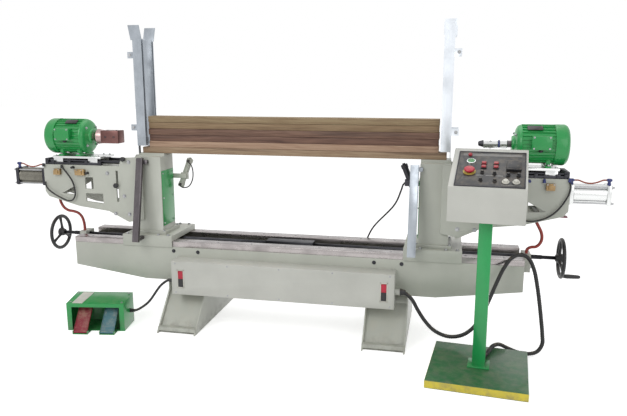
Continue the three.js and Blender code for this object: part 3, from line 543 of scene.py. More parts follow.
# %% Timber
grain, g_in, g_out = start_group("board_grain", [("Shift", 0.0)], outs=("Fibre", "Streak", "End", "Ring"))
spot = object_point(grain)
bent = grain.nodes.new("ShaderNodeVectorMath")
bent.operation = "MULTIPLY_ADD"
slow = grain.nodes.new("ShaderNodeTexNoise")
slow.inputs["Scale"].default_value = 2.2
slow.inputs["Detail"].default_value = 3.0
grain.links.new(spot, slow.inputs["Vector"])
grain.links.new(slow.outputs["Color"], bent.inputs[0])
bent.inputs[1].default_value = (0.0, 0.02, 0.035)
grain.links.new(spot, bent.inputs[2])
offset = grain.nodes.new("ShaderNodeVectorMath")
grain.links.new(bent.outputs[0], offset.inputs[0])
shift = grain.nodes.new("ShaderNodeCombineXYZ")
for axis in "XYZ":
    grain.links.new(g_in.outputs["Shift"], shift.inputs[axis])
grain.links.new(shift.outputs[0], offset.inputs[1])
for label, stretch_by, low, high in (
    ("Fibre", (5, 170, 170), 0.32, 0.68), ("Streak", (1.3, 46, 46), 0.5, 0.72),
):
    scaled = grain.nodes.new("ShaderNodeVectorMath")
    scaled.operation = "MULTIPLY"
    scaled.inputs[1].default_value = stretch_by
    grain.links.new(offset.outputs[0], scaled.inputs[0])
    grain.links.new(
        band(grain, noise_node(grain, scaled.outputs[0], 1.0, 6.0, 0.62), low, high), g_out.inputs[label],
    )
facing = grain.nodes.new("ShaderNodeSeparateXYZ")
grain.links.new(grain.nodes.new("ShaderNodeNewGeometry").outputs["Normal"], facing.inputs[0])
grain.links.new(band(grain, math_node(grain, "ABSOLUTE", facing.outputs["X"]), 0.6, 0.8), g_out.inputs["End"])
rings = grain.nodes.new("ShaderNodeTexWave")
rings.wave_type = "RINGS"
rings.rings_direction = "X"
rings.inputs["Scale"].default_value = 38.0
rings.inputs["Distortion"].default_value = 2.5
grain.links.new(offset.outputs[0], rings.inputs["Vector"])
grain.links.new(rings.outputs["Fac"], g_out.inputs["Ring"])


def timber(name, pale, brown, streak, place):
    look, tree, shader = start_finish(name, 0.0, 0.62)
    fibres = place_group(tree, grain, Shift=place)
    colour = mix_colour(tree, fibres.outputs["Fibre"], pale, brown)
    colour = mix_colour(tree, math_node(tree, "MULTIPLY", fibres.outputs["Streak"], 0.75), colour, streak)
    ends = mix_colour(
        tree, fibres.outputs["Ring"], tuple(0.7 * c for c in pale), tuple(0.55 * c for c in brown),
    )
    colour = mix_colour(tree, fibres.outputs["End"], colour, ends)
    tree.links.new(colour, shader.inputs["Base Color"])
    set_roughness(tree, shader, fibres.outputs["Fibre"], 0.52, 0.72)
    set_bump(tree, shader, fibres.outputs["Fibre"], 0.25, 0.0008)
    return look


# %% [markdown]
# The magazine holds six boards. The frame has the lowest one, and the five above it as one solid, so both
# are replaced here by six separate boards. A sawn board is never true: each gets a slow bow, a little
# waviness and uneven arrises, moved point by point with a seeded noise.

# %% Boards
BOARD_TONES = [
    ((0.34, 0.245, 0.155), (0.24, 0.155, 0.095), (0.1, 0.055, 0.03)),
    ((0.42, 0.285, 0.195), (0.31, 0.19, 0.125), (0.17, 0.09, 0.05)),
    ((0.165, 0.085, 0.055), (0.095, 0.046, 0.032), (0.045, 0.022, 0.017)),
    ((0.19, 0.105, 0.068), (0.11, 0.056, 0.038), (0.05, 0.027, 0.02)),
    ((0.27, 0.185, 0.1), (0.195, 0.125, 0.066), (0.1, 0.06, 0.035)),
    ((0.3, 0.225, 0.125), (0.21, 0.14, 0.075), (0.12, 0.075, 0.045)),
]


def make_board(number, low, high, tones):
    shape = bmesh.new()
    size = [b - a for a, b in zip(low, high)]
    made = bmesh.ops.create_cube(shape, size=1.0)["verts"]
    bmesh.ops.scale(shape, vec=size, verts=made)
    long_edges = [e for e in shape.edges if abs(e.verts[0].co.x - e.verts[1].co.x) > 0.5 * size[0]]
    bmesh.ops.subdivide_edges(shape, edges=long_edges, cuts=44)
    rims = [e for e in shape.edges if e.calc_face_angle(0) > 1.0]
    bmesh.ops.bevel(shape, geom=rims, offset=0.0022, segments=2, profile=0.5, affect="EDGES")
    bmesh.ops.translate(shape, vec=[(a + b) / 2 for a, b in zip(low, high)], verts=shape.verts)
    middle = Vector([(a + b) / 2 for a, b in zip(low, high)])
    for v in shape.verts:
        pull = Vector((v.co.x * 2.3, number * 7.1, v.co.z * 11))
        rough = noise.noise(pull) * 0.0016 + noise.noise(pull * 6) * 0.0005
        v.co.y += rough - 0.0014
        v.co.z -= abs(noise.noise(pull + Vector((0, 5, 0)))) * 0.0012 * (1 if v.co.z > middle.z else -0.2)
    look = timber(f"board_{number}_timber", *tones, 3.7 * number)
    stands_for = ("lowest_billet",) if number == 0 else ("billet_stack",) if number == 1 else ()
    return finish_piece(shape, f"board_{number}", "frame", look, 40.0, stands_for)


low_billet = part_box("lowest_billet")
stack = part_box("billet_stack")
make_board(0, low_billet[0], low_billet[1], BOARD_TONES[0])
layer = (stack[1].z - stack[0].z) / 5
for number in range(1, 6):
    floor = stack[0].z + (number - 1) * layer
    inset = (0.0, 0.0015, 0.004, 0.0, 0.003, 0.001)[number]
    make_board(
        number,
        Vector((stack[0].x + inset, stack[0].y + 0.6 * inset, floor)),
        Vector((stack[1].x - 0.7 * inset, stack[1].y - inset, floor + layer - 0.0006)),
        BOARD_TONES[number],
    )
print("boards:", number + 1, "each", round(layer * 1000), "mm thick")

# %% [markdown]
# ## Finishes for the frame's own pieces
# A frame piece keeps its shape. It gets a material, and a Bevel modifier after a Weld, so that plate edges
# catch the light as real ones do. Modifiers don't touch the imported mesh.

# %% Dressing the frame
def dress(name, look, edge=0.0015, sharp=32.0):
    node = nodes[name]
    node.data.materials.clear()
    node.data.materials.append(look)
    node.data.shade_smooth()
    weld = node.modifiers.new("weld", "WELD")
    weld.merge_threshold = 0.00001
    if edge > 0.0:
        soften = node.modifiers.new("soften", "BEVEL")
        soften.width = edge
        soften.segments = 2
        soften.limit_method = "ANGLE"
        soften.angle_limit = math.radians(sharp)
        soften.use_clamp_overlap = True
        soften.harden_normals = True


for name in ("bed", "left_leg", "right_leg"):
    dress(name, warm_grey, 0.002)
for name in ("power_box", "control_box"):
    dress(name, pale_grey, 0.002)
for name in ("front_way", "rear_way"):
    dress(name, way_steel, 0.0015)
dress("stand_base", deep_green, 0.002)
dress("stand_pole", pole_green, 0.003)
dress("control_panel", panel_black, 0.0008)
dress("pedal_guard", bright_green, 0.0015)
dress("screw_centre_bearing", black_steel, 0.002)
for side in SIDES:
    for part_name in ("saddle", "column", "arm", "screw_bracket"):
        dress(f"{side}_{part_name}", warm_grey, 0.002)
    dress(f"{side}_column_cover", bright_green, 0.0008)
    dress(f"{side}_slide_rods", black_steel, 0.001)
    dress(f"{side}_carriage", bright_alloy, 0.0012)
    dress(f"{side}_leadscrew", black_steel, 0.0)
    # Painted shade: the left magazine rails get the duller zinc, darker than the same rails on the right,
    # because the left side faces away from the light.
    rail_zinc_shaded_on_left = dull_and_shaded_zinc if side == "left" else zinc_sheet
    dress(f"{side}_magazine_front_rail", rail_zinc_shaded_on_left, 0.0008)
    dress(f"{side}_magazine_rear_rail", rail_zinc_shaded_on_left, 0.0008)
    # Painted shade: the left chute rail is the same zinc angle as the right one, drawn in dark oiled steel
    # because it stands in shadow.
    dress(f"{side}_chute_rail", dark_steel if side == "left" else dull_and_shaded_zinc, 0.0008)
print("frame pieces dressed")

# %% [markdown]
# ## Cords
# A cord has a fixed length, so its route comes from the frame and its finish from what it is. The stand's
# cable runs in a corrugated sheath. Its ribs are real geometry: the tube's radius rises and falls along it.

# %% Routes, in metres
STAND_CABLE = [
    (0.6625, -0.0219, 0.298), (0.674, -0.0219, 0.298), (0.694, -0.0229, 0.292), (
        0.728, -0.0269, 0.262,
    ),
    (0.762, -0.0309, 0.205), (0.801, -0.0369, 0.15), (0.842, -0.0439, 0.11), (
        0.888, -0.0519, 0.088,
    ),
    (0.94, -0.0599, 0.082), (1.0, -0.0659, 0.1), (1.052, -0.0679, 0.146), (
        1.092, -0.0639, 0.215,
    ),
    (1.125, -0.0539, 0.297), (1.159, -0.0379, 0.388), (1.192, -0.0179, 0.462), (1.23, 0.0101, 0.511),
    (1.275, 0.0381, 0.526), (1.318, 0.0461, 0.508), (1.348, 0.0321, 0.452), (1.367, 0.0101, 0.37),
    (1.38, -0.0079, 0.29), (1.392, -0.0239, 0.205), (1.402, -0.0339, 0.125), (
        1.404, -0.0399, 0.072,
    ),
    (1.38, -0.0429, 0.03), (1.336, -0.0399, 0.013), (1.286, -0.0279, 0.013), (
        1.236, -0.0159, 0.026,
    ),
    (1.192, -0.0239, 0.046), (1.158, -0.0639, 0.052), (1.136, -0.1219, 0.052), (
        1.116, -0.1819, 0.052,
    ),
    (1.098, -0.2199, 0.054), (1.09, -0.2499, 0.056),
]
PEDAL_CABLE = [
    (-0.9128, -0.0625, 0.088), (-0.898, -0.0601, 0.088), (-0.876, -0.0529, 0.09), (
        -0.846, -0.0419, 0.106,
    ),
    (-0.815, -0.0319, 0.13), (-0.788, -0.0269, 0.162), (-0.762, -0.0229, 0.2), (
        -0.735, -0.0199, 0.236,
    ),
    (-0.708, -0.0179, 0.26), (-0.686, -0.0169, 0.273), (-0.668, -0.0169, 0.275), (
        -0.6555, -0.0169, 0.275,
    ),
]
CLAMP_HOSE = [
    (0.6633, 0.2801, 0.85), (0.654, 0.2801, 0.848), (0.643, 0.2821, 0.836), (0.636, 0.2861, 0.814),
    (0.626, 0.2921, 0.784), (0.612, 0.3021, 0.746), (0.59, 0.3181, 0.706), (0.56, 0.3361, 0.668),
    (0.526, 0.3541, 0.63), (0.492, 0.3701, 0.592), (0.462, 0.3811, 0.552), (0.44, 0.3881, 0.51),
    (0.424, 0.3911, 0.47), (0.412, 0.3911, 0.436), (0.403, 0.3871, 0.41), (0.4, 0.3781, 0.401),
    (0.4, 0.3671, 0.4),
]
CONDUIT = {
    "left": [
        (-1.456, 0.1381, 0.7288), (-1.456, 0.1381, 0.716), (-1.456, 0.1391, 0.7),
        (-1.45, 0.1401, 0.676), (-1.434, 0.1421, 0.648), (-1.408, 0.1461, 0.63),
        (-1.376, 0.1511, 0.624), (-1.348, 0.1581, 0.612), (-1.331, 0.1661, 0.588),
        (-1.324, 0.1721, 0.556), (-1.323, 0.1761, 0.526), (-1.323, 0.1761, 0.5005),
    ],
    "right": [
        (1.352, 0.1381, 0.7288), (1.352, 0.1381, 0.716), (1.354, 0.1401, 0.702),
        (1.361, 0.1441, 0.678), (1.376, 0.1501, 0.65), (1.39, 0.1561, 0.62),
        (1.395, 0.1621, 0.588), (1.388, 0.1681, 0.56), (1.37, 0.1721, 0.54),
        (1.342, 0.1751, 0.534), (1.326, 0.1761, 0.522), (1.323, 0.1761, 0.511),
        (1.323, 0.1761, 0.5005),
    ],
}


# %% A strain relief, and a cord that may be ribbed
def add_relief(shape, start, direction, cord_radius, length=0.03):
    """A tapered sleeve with ribs, where a cord leaves a housing."""
    profile = [(0, 0), (0, cord_radius * 1.75), (0.004, cord_radius * 1.75)]
    ribs = 5
    for i in range(ribs):
        share = (i + 1) / ribs
        radius = cord_radius * (1.65 - 0.5 * share)
        at = 0.004 + (length - 0.006) * share
        profile += [(at - 0.0022, radius + 0.0008), (at - 0.0008, radius + 0.0008), (at, radius - 0.0004)]
    profile += [(length, cord_radius * 1.08), (length, 0)]
    add_turned(shape, start, direction, profile, 24)


def make_cord(name, points, diameter, look, body="frame", ribs=0.0, stands_for=(),
              reliefs=(True, True), per=6):
    """A round tube on a route, with a relief at either end. It prints its length."""
    route = smooth_route(points, per)
    radius = diameter / 2
    if ribs:
        route = evenly(route, ribs / 3)

    def radius_at(along):
        return radius * (1 - 0.16 * (0.5 - 0.5 * math.cos(2 * math.pi * along / ribs))) if ribs else radius

    shape = bmesh.new()
    add_tube(shape, route, radius_at, 12)
    piece = finish_piece(shape, name, body, look, 60.0, stands_for)
    sleeves = bmesh.new()
    if reliefs[0]:
        add_relief(sleeves, route[0], route[3] - route[0], radius)
    if reliefs[1]:
        add_relief(sleeves, route[-1], route[-4] - route[-1], radius)
    if any(reliefs):
        finish_piece(sleeves, f"{name}_reliefs", body, black_moulding, 30.0)
    else:
        sleeves.free()
    line = [tuple(p) for p in evenly(route, 0.006)]
    print(name, round(route_length(route), 3), "m")
    return piece


make_cord("stand_cable_sheath", STAND_CABLE, 0.022, black_rubber, ribs=0.009,
          stands_for=("stand_cable",))
make_cord("pedal_cable_jacket", PEDAL_CABLE, 0.014, black_rubber, stands_for=("pedal_cable",))
make_cord("clamp_air_hose", CLAMP_HOSE, 0.01, black_rubber, stands_for=("clamp_hose",),
          reliefs=(False, False))
for side in SIDES:
    make_cord(f"{side}_red_conduit", CONDUIT[side], 0.018, hose_red, ribs=0.007,
              stands_for=(f"{side}_conduit",), reliefs=(False, False))

# %% [markdown]
# ## Motors
# A motor is a turned casting with cooling fins, a feet plate, a cowl with air slots over its fan, and a box
# for its terminals. The turned outline gives the casting, and the fins are thin blocks set round it.

# %% Motors
MOTOR_RADIUS = 0.106
TERMINAL_BOX = (1.3, 1.392)  # where the terminal box begins and ends


def make_motor(side, sign):
    low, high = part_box(f"{side}_motor")
    inner = min(abs(low.x), abs(high.x))
    shape = bmesh.new()
    start = (sign * inner, HEAD_Y, SPINDLE_Z)
    out = (sign, 0, 0)
    add_turned(shape, start, out, [
        (0, 0), (0, 0.04), (0.003, 0.043), (0.01, 0.045), (0.013, 0.052), (0.016, 0.064), (0.02, 0.082),
        (0.027, 0.094), (0.036, 0.1005), (0.042, 0.1025), (0.046, 0.1025), (0.047, 0.0985), (0.208, 0.0985),
        (0.2085, 0.1055), (0.214, MOTOR_RADIUS), (0.256, MOTOR_RADIUS), (0.262, 0.1045), (0.272, 0.098),
        (0.279, 0.086), (0.2795, 0.078), (0.277, 0.077), (0.277, 0.072), (0.281, 0.071), (0.281, 0.062),
        (0.278, 0.061), (0.278, 0.056), (0.282, 0.055), (0.282, 0.046), (0.279, 0.045), (0.279, 0.04),
        (0.284, 0.039), (0.285, 0.02), (0.285, 0),
    ], 96)
    fins = 30
    for i in range(fins):
        angle = 2 * math.pi * (i + 0.5) / fins
        if abs(angle - 1.5 * math.pi) < 0.45:
            continue  # the feet are here
        tilt = Matrix.Rotation(angle, 4, "X")
        centre = Vector((sign * (inner + 0.127), HEAD_Y, SPINDLE_Z))
        reach = tilt @ Vector((0, 0.1005, 0))
        add_block(
            shape, centre + reach - Vector((0.08, 0.0042, 0.0016)),
            centre + reach + Vector((0.08, 0.0042, 0.0016)), 0.0009, tilt,
        )
    sole = low.z
    for offset in (0.058, 0.17):
        x = sign * (inner + offset)
        add_block(
            shape, (x - sign * 0.004, HEAD_Y - 0.078, sole),
            (x + sign * 0.026, HEAD_Y + 0.078, sole + 0.012), 0.003,
        )
        for way in (-1, 1):
            add_block(
                shape, (x, HEAD_Y + way * 0.028, sole + 0.004), (
                    x + sign * 0.022, HEAD_Y + way * 0.066, sole + 0.052,
                ),
                0.004,
            )
    box_front = HEAD_Y - MOTOR_RADIUS - 0.024
    x0, x1 = (sign * x for x in TERMINAL_BOX)
    add_block(
        shape, (x0, box_front + 0.01, SPINDLE_Z - 0.014), (x1, box_front + 0.064, SPINDLE_Z + 0.05), 0.004,
    )
    add_block(
        shape, (x0 - sign * 0.003, box_front, SPINDLE_Z - 0.017), (
            x1 + sign * 0.003, box_front + 0.012, SPINDLE_Z + 0.053,
        ),
        0.0035,
    )
    finish_piece(
        shape, f"{side}_motor_casting", f"{side}_feed", bright_green,
        34.0, (f"{side}_motor",),
    )
    trim = bmesh.new()
    for dx in (0.008, 0.084):
        for dz in (-0.01, 0.046):
            add_bolt(trim, (sign * (1.3 + dx), box_front, SPINDLE_Z + dz), (0, -1, 0), 0.006, 0.004)
    for offset in (0.069, 0.181):
        for way in (-1, 1):
            add_bolt(
                trim, (sign * (inner + offset), HEAD_Y + way * 0.072, sole + 0.012), (0, 0, 1), 0.012, 0.008,
            )
    for i in range(4):
        angle = math.pi / 4 + i * math.pi / 2
        add_bolt(
            trim, (
                sign * (inner + 0.018), HEAD_Y + 0.074 * math.cos(angle), SPINDLE_Z + 0.074 * math.sin(angle),
            ),
            (-sign, 0, 0), 0.01, 0.008,
        )
    finish_piece(trim, f"{side}_motor_bolts", f"{side}_feed", zinc_bolt, 30.0)
    plate = bmesh.new()
    spot = Vector((sign * (inner + 0.108), HEAD_Y, SPINDLE_Z)) + Vector((0, -0.0562, 0.0899))
    add_block(plate, spot - Vector((0.038, 0.018, 0.0012)), spot + Vector((0.038, 0.018, 0.0012)), 0.0006,
              Matrix.Rotation(math.radians(32), 4, "X"))
    finish_piece(plate, f"{side}_motor_blank_plate", f"{side}_feed", panel_black, 30.0)
    turned_piece(
        f"{side}_motor_gland", f"{side}_feed", black_moulding,
        (sign * 1.346, box_front + 0.034, SPINDLE_Z - 0.013), (0, 0, -1), [
            (0, 0), (0, 0.013), (0.005, 0.013), (0.005, 0.011), (0.016, 0.011), (0.019, 0.008), (0.019, 0),
        ], 18, 30.0,
    )


for side, sign in SIDES.items():
    make_motor(side, sign)
print("motors made")

# %% [markdown]
# ## Spindles
# The two spindles differ. The left one is a turned cone with a broad square cutter block. The right one is
# a slim chuck of several turned rings. Each is one stack of turned parts on the spindle line, and each
# turns with its own body.

# %% Left cutter block
def along_spindle(sign, x):
    return (sign * x, HEAD_Y, SPINDLE_Z)


turned_piece(
    "left_spindle_cone", "left_spindle", pink_steel, along_spindle(-1, 1.144), (-1, 0, 0), [
        (0, 0), (0, 0.038), (0.002, 0.04), (0.01, 0.041), (0.03, 0.0455), (0.033, 0.045), (0.052, 0.03),
        (0.0545, 0.0245), (0.0647, 0.024), (0.0647, 0),
    ], 64, 30.0, ("left_spindle",),
)
cutter = bmesh.new()
half = 0.038
add_block(
    cutter, (-1.144, HEAD_Y - half, SPINDLE_Z - half), (-1.03, HEAD_Y + half, SPINDLE_Z + half), 0.003,
)
add_block(
    cutter, (-1.03, HEAD_Y - half + 0.004, SPINDLE_Z - half + 0.004),
    (-1.0285, HEAD_Y + half - 0.004, SPINDLE_Z + half - 0.004), 0.001,
)
finish_piece(cutter, "left_cutter_block", "left_spindle", cutter_steel)
screws = bmesh.new()
for dx in (0.03, 0.085):
    for turn in range(4):
        way = Vector((0, math.cos(turn * math.pi / 2), math.sin(turn * math.pi / 2)))
        add_turned(screws, Vector((-1.144 + dx, HEAD_Y, SPINDLE_Z)) + way * half, way, [
            (-0.001, 0), (-0.001, 0.0062), (0.0012, 0.0062), (0.0012, 0.0035), (-0.0005, 0.0035), (
                -0.0005, 0,
            ),
        ], 18)
finish_piece(screws, "left_cutter_screws", "left_spindle", black_steel)

# %% Right chuck
for name, look, start, profile in (
    (
        "nose", black_steel, 1.04,
        [(0, 0), (0, 0.008), (0.004, 0.013), (0.018, 0.0165), (0.026, 0.019), (0.0262, 0)],
    ),
    ("barrel", bright_alloy, 1.0662, [
        (0, 0), (0, 0.0225), (0.0015, 0.024), (0.02, 0.024), (0.021, 0.023), (0.024, 0.023), (0.025, 0.024),
        (0.072, 0.024), (0.0738, 0.0225), (0.0738, 0),
    ]),
    (
        "collar", fitting_blue, 1.1402,
        [(0, 0), (0, 0.0185), (0.0015, 0.02), (0.0085, 0.02), (0.0098, 0.0185), (0.0098, 0)],
    ),
    (
        "ring", bright_alloy, 1.1502,
        [(0, 0), (0, 0.0235), (0.0015, 0.025), (0.0345, 0.025), (0.036, 0.0235), (0.036, 0)],
    ),
    ("shaft", dark_steel, 1.1864, [(0, 0), (0, 0.018), (0.0223, 0.018), (0.0223, 0)]),
):
    turned_piece(
        f"right_chuck_{name}", "right_spindle", look,
        along_spindle(1, start), (1, 0, 0), profile,
        48, 30.0, ("right_spindle",) if name == "barrel" else (),
    )
key = bmesh.new()
for turn in range(3):
    angle = turn * 2 * math.pi / 3 + 0.4
    way = Vector((0, math.cos(angle), math.sin(angle)))
    add_turned(key, Vector(along_spindle(1, 1.102)) + way * 0.0225, way, [
        (0, 0), (0, 0.005), (0.0022, 0.005), (0.0022, 0.003), (0.001, 0.003), (0.001, 0),
    ], 16)
finish_piece(key, "right_chuck_screws", "right_spindle", black_steel)
print("spindles made")

# %% [markdown]
# ## Handwheels
# A cast handwheel has a round rim, three dished spokes that swell into the rim and hub, and a hub held by a
# screw. The rim is swept round a circle, and each spoke is a tube whose radius changes along its length.

# %% Handwheels and the crank grip
RIM_X = 1.506  # how far out the rim's plane is
RIM_STEPS = 72  # steps round the wheel
TUBE_STEPS = 14  # steps round the rim's own section


def spoke_radius(along):
    """Thick at the hub and the rim, thin between."""
    return 0.0105 - 0.0032 * math.sin(math.pi * min(1.0, along / 0.08))


def make_handwheel(side, sign):
    low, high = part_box(f"{side}_handwheel")
    centre = Vector((0, BED_Y, (low.z + high.z) / 2))
    shape = bmesh.new()
    rings = []
    for i in range(RIM_STEPS):
        angle = 2 * math.pi * i / RIM_STEPS
        out = Vector((0, math.cos(angle), math.sin(angle)))
        ring = []
        for k in range(TUBE_STEPS):
            a = 2 * math.pi * k / TUBE_STEPS
            across = Vector((sign * (RIM_X + 0.01 * math.sin(a)), 0, 0))
            ring.append(shape.verts.new(centre + out * (0.1 + 0.0108 * math.cos(a)) + across))
        rings.append(ring)
    for a, b in zip(rings, rings[1:] + rings[:1]):
        for k in range(TUBE_STEPS):
            n = (k + 1) % TUBE_STEPS
            shape.faces.new((a[k], a[n], b[n], b[k]))
    for turn in range(3):
        angle = math.pi / 2 + turn * 2 * math.pi / 3
        out = Vector((0, math.cos(angle), math.sin(angle)))
        dish = ((0.016, 1.496), (0.045, 1.499), (0.075, 1.503), (0.096, RIM_X))
        route = smooth_route([centre + out * far + Vector((sign * x, 0, 0)) for far, x in dish], 4)
        add_tube(shape, route, spoke_radius, 12)
    add_turned(shape, centre + Vector((sign * 1.476, 0, 0)), (sign, 0, 0), [
        (0, 0), (0, 0.017), (0.002, 0.019), (0.016, 0.024), (0.036, 0.024), (0.038, 0.022), (0.038, 0.01),
        (0.034, 0.009), (0.034, 0),
    ], 32)
    finish_piece(
        shape, f"{side}_wheel", f"{side}_screw", black_moulding, 40.0,
        (f"{side}_handwheel",),
    )
    cap = bmesh.new()
    add_bolt(cap, centre + Vector((sign * 1.509, 0, 0)), (sign, 0, 0), 0.014, 0.009)
    finish_piece(cap, f"{side}_wheel_bolt", f"{side}_screw", zinc_bolt)


for side, sign in SIDES.items():
    make_handwheel(side, sign)
grip_low, grip_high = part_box("crank_grip")
turned_piece(
    "turning_grip", "crank_grip", black_moulding,
    (grip_low.x, (grip_low.y + grip_high.y) / 2, (grip_low.z + grip_high.z) / 2), (1, 0, 0), [
        (0, 0), (0, 0.0065), (0.002, 0.008), (0.007, 0.009), (0.016, 0.0112), (0.03, 0.012), (
            0.055, 0.0112,
        ),
        (0.08, 0.0102), (0.089, 0.0085), (0.0935, 0.0045), (0.094, 0),
    ], 32, 40.0, ("crank_grip",),
)
print("handwheels made")

# %% [markdown]
# ## Air cylinders
# An air cylinder is a drawn tube between two square end caps, pulled together by four long rods with nuts.
# The air comes in through a port on each cap. Drawn tube is turned here, and the caps are rounded blocks.

# %% Air cylinders
CYLINDER = Vector((0, BED_Y - 0.075, 0.845))  # the line of both air cylinders
CAP_HALF = 0.052  # half the width of a cap
ROD_OFF = 0.041  # from the line to each rod


def make_cylinder(side, sign, tube_look, cap_look):
    low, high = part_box(f"{side}_feed_cylinder")
    near = min(abs(low.x), abs(high.x))
    tube = bmesh.new()
    outline = [(0, 0), (0, 0.0475), (0.001, 0.0485)]
    if side == "left":
        for i in range(14):
            at = 0.006 + i * 0.0105
            outline += [(at, 0.0485), (at + 0.0035, 0.0485), (at + 0.0045, 0.0472), (at + 0.009, 0.0472)]
    outline += [(0.157, 0.0485), (0.158, 0.0475), (0.158, 0)]
    add_turned(tube, CYLINDER + Vector((sign * (near + 0.022), 0, 0)), (sign, 0, 0), outline, 64)
    finish_piece(
        tube, f"{side}_cylinder_tube", f"{side}_head", tube_look,
        30.0, (f"{side}_feed_cylinder",),
    )
    caps = bmesh.new()
    for x in (near, 1.68):
        add_block(caps, (sign * x, CYLINDER.y - CAP_HALF, CYLINDER.z - CAP_HALF),
                  (sign * (x + 0.022), CYLINDER.y + CAP_HALF, CYLINDER.z + CAP_HALF), 0.006)
    boss = [(0, 0), (0, 0.03), (0.003, 0.028), (0.003, 0)]
    add_turned(caps, CYLINDER + Vector((sign * 1.7015, 0, 0)), (sign, 0, 0), boss, 40)
    finish_piece(caps, f"{side}_cylinder_caps", f"{side}_head", cap_look)
    rods = bmesh.new()
    for y in (-1, 1):
        for z in (-1, 1):
            corner = CYLINDER + Vector((0, y * ROD_OFF, z * ROD_OFF))
            inner_end = corner + Vector((sign * (near + 0.021), 0, 0))
            add_turned(rods, inner_end, (sign, 0, 0), rod_profile(0.1935, 0.0045), 16)
            add_bolt(rods, corner + Vector((sign * 1.702, 0, 0)), (sign, 0, 0), 0.011, 0.008)
    finish_piece(rods, f"{side}_cylinder_rods", f"{side}_head", zinc_bolt)


make_cylinder("left", -1, dark_alloy, black_steel)
make_cylinder("right", 1, bright_alloy, bright_alloy)

# %% Push-in fittings and their short air tubes
def add_fitting(shape, at, up=(0, 0, 1), tall=0.022):
    """A hexagon base, a round body and a release ring."""
    add_turned(shape, at, up, [(0, 0), (0, 0.0085), (0.007, 0.0085), (0.007, 0)], 6)
    add_turned(shape, Vector(at) + Vector(up) * 0.007, up, [
        (0, 0), (0, 0.0072), (tall - 0.01, 0.0072), (tall - 0.009, 0.0056), (tall - 0.007, 0.0056), (
            tall - 0.007, 0,
        ),
    ], 20)


def elbow_posts(name, body, places, look):
    """Upright fittings with a short crosspiece at the top. Each place has its own height."""
    shape = bmesh.new()
    for at, tall in places:
        add_turned(shape, at, (0, 0, 1), [
            (0, 0), (0, 0.0095), (0.008, 0.0095), (0.008, 0.0075), (tall - 0.014, 0.0075), (
                tall - 0.014, 0.0105,
            ),
            (tall - 0.001, 0.0105), (tall, 0.0095), (tall, 0),
        ], 20)
        add_block(
            shape, Vector(at) + Vector((-0.013, -0.0075, tall - 0.013)),
            Vector(at) + Vector((0.013, 0.0075, tall - 0.002)), 0.002,
        )
    finish_piece(shape, name, body, look)


port_y = CYLINDER.y - 0.02
port_z = CYLINDER.z + CAP_HALF
for side, sign in (("right", 1.0), ("left", -1.0)):
    elbow_posts(
        f"{side}_cylinder_elbows", f"{side}_head",
        [((sign * 1.511, port_y, port_z), 0.028), ((sign * 1.691, port_y, port_z), 0.032)], fitting_blue,
    )

# %% [markdown]
# Short air tubes join the valves and the cylinders. Each one is fixed at both ends, has a little slack, and
# is a cord like the long ones, with its own length.

# %% Short air tubes
FRONT = BED_Y - 0.1323  # the outer face of each front arm plate


def air_tube(name, side, points, diameter, look):
    """A small tube that rides on one head and is fixed at both ends."""
    make_cord(name, points, diameter, look, f"{side}_head",
              reliefs=(False, False), per=8)


air_tube("right_cylinder_tube_top", "right", [
    (1.524, port_y, port_z + 0.0205), (1.545, port_y, port_z + 0.02), (
        1.572, port_y - 0.002, port_z + 0.01,
    ),
    (1.602, port_y - 0.003, port_z + 0.006), (1.634, port_y - 0.002, port_z + 0.012), (
        1.662, port_y, port_z + 0.0235,
    ),
    (1.678, port_y, port_z + 0.0245),
], 0.008, tube_brown)
air_tube("left_cylinder_tube_top", "left", [
    (-1.524, port_y, port_z + 0.0205), (-1.545, port_y, port_z + 0.02), (
        -1.575, port_y - 0.002, port_z + 0.01,
    ),
    (-1.606, port_y - 0.003, port_z + 0.006), (-1.64, port_y - 0.002, port_z + 0.014), (
        -1.664, port_y, port_z + 0.0235,
    ),
    (-1.678, port_y, port_z + 0.0245),
], 0.008, tube_brown)
air_tube("left_arm_loop", "left", [
    (-1.372, FRONT - 0.01, 0.914), (-1.36, FRONT - 0.014, 0.904), (-1.334, FRONT - 0.016, 0.874),
    (-1.306, FRONT - 0.017, 0.834), (-1.292, FRONT - 0.017, 0.79), (-1.292, FRONT - 0.017, 0.744),
    (-1.312, FRONT - 0.016, 0.715), (-1.345, FRONT - 0.015, 0.711), (-1.392, FRONT - 0.014, 0.728),
    (-1.44, FRONT - 0.013, 0.752), (-1.474, FRONT - 0.011, 0.776), (-1.49, FRONT - 0.008, 0.8),
    (-1.494, FRONT - 0.006, 0.82),
], 0.009, black_rubber)
air_tube("right_arm_loop", "right", [
    (1.494, FRONT - 0.007, 0.912), (1.499, FRONT - 0.012, 0.893), (1.495, FRONT - 0.014, 0.855),
    (1.476, FRONT - 0.015, 0.812), (1.45, FRONT - 0.015, 0.772), (1.416, FRONT - 0.015, 0.738),
    (1.376, FRONT - 0.014, 0.716), (1.33, FRONT - 0.013, 0.703), (1.292, FRONT - 0.011, 0.704),
    (1.262, FRONT - 0.008, 0.716), (1.252, FRONT - 0.006, 0.724),
], 0.009, black_rubber)

# %% [markdown]
# ## The arms' fittings
# Each arm carries a valve block or two, a row of bolts into the column, a slot with a clamp knob that sets
# its tilt, and stops on the slide. They are small, but they make the arm read as a working thing.

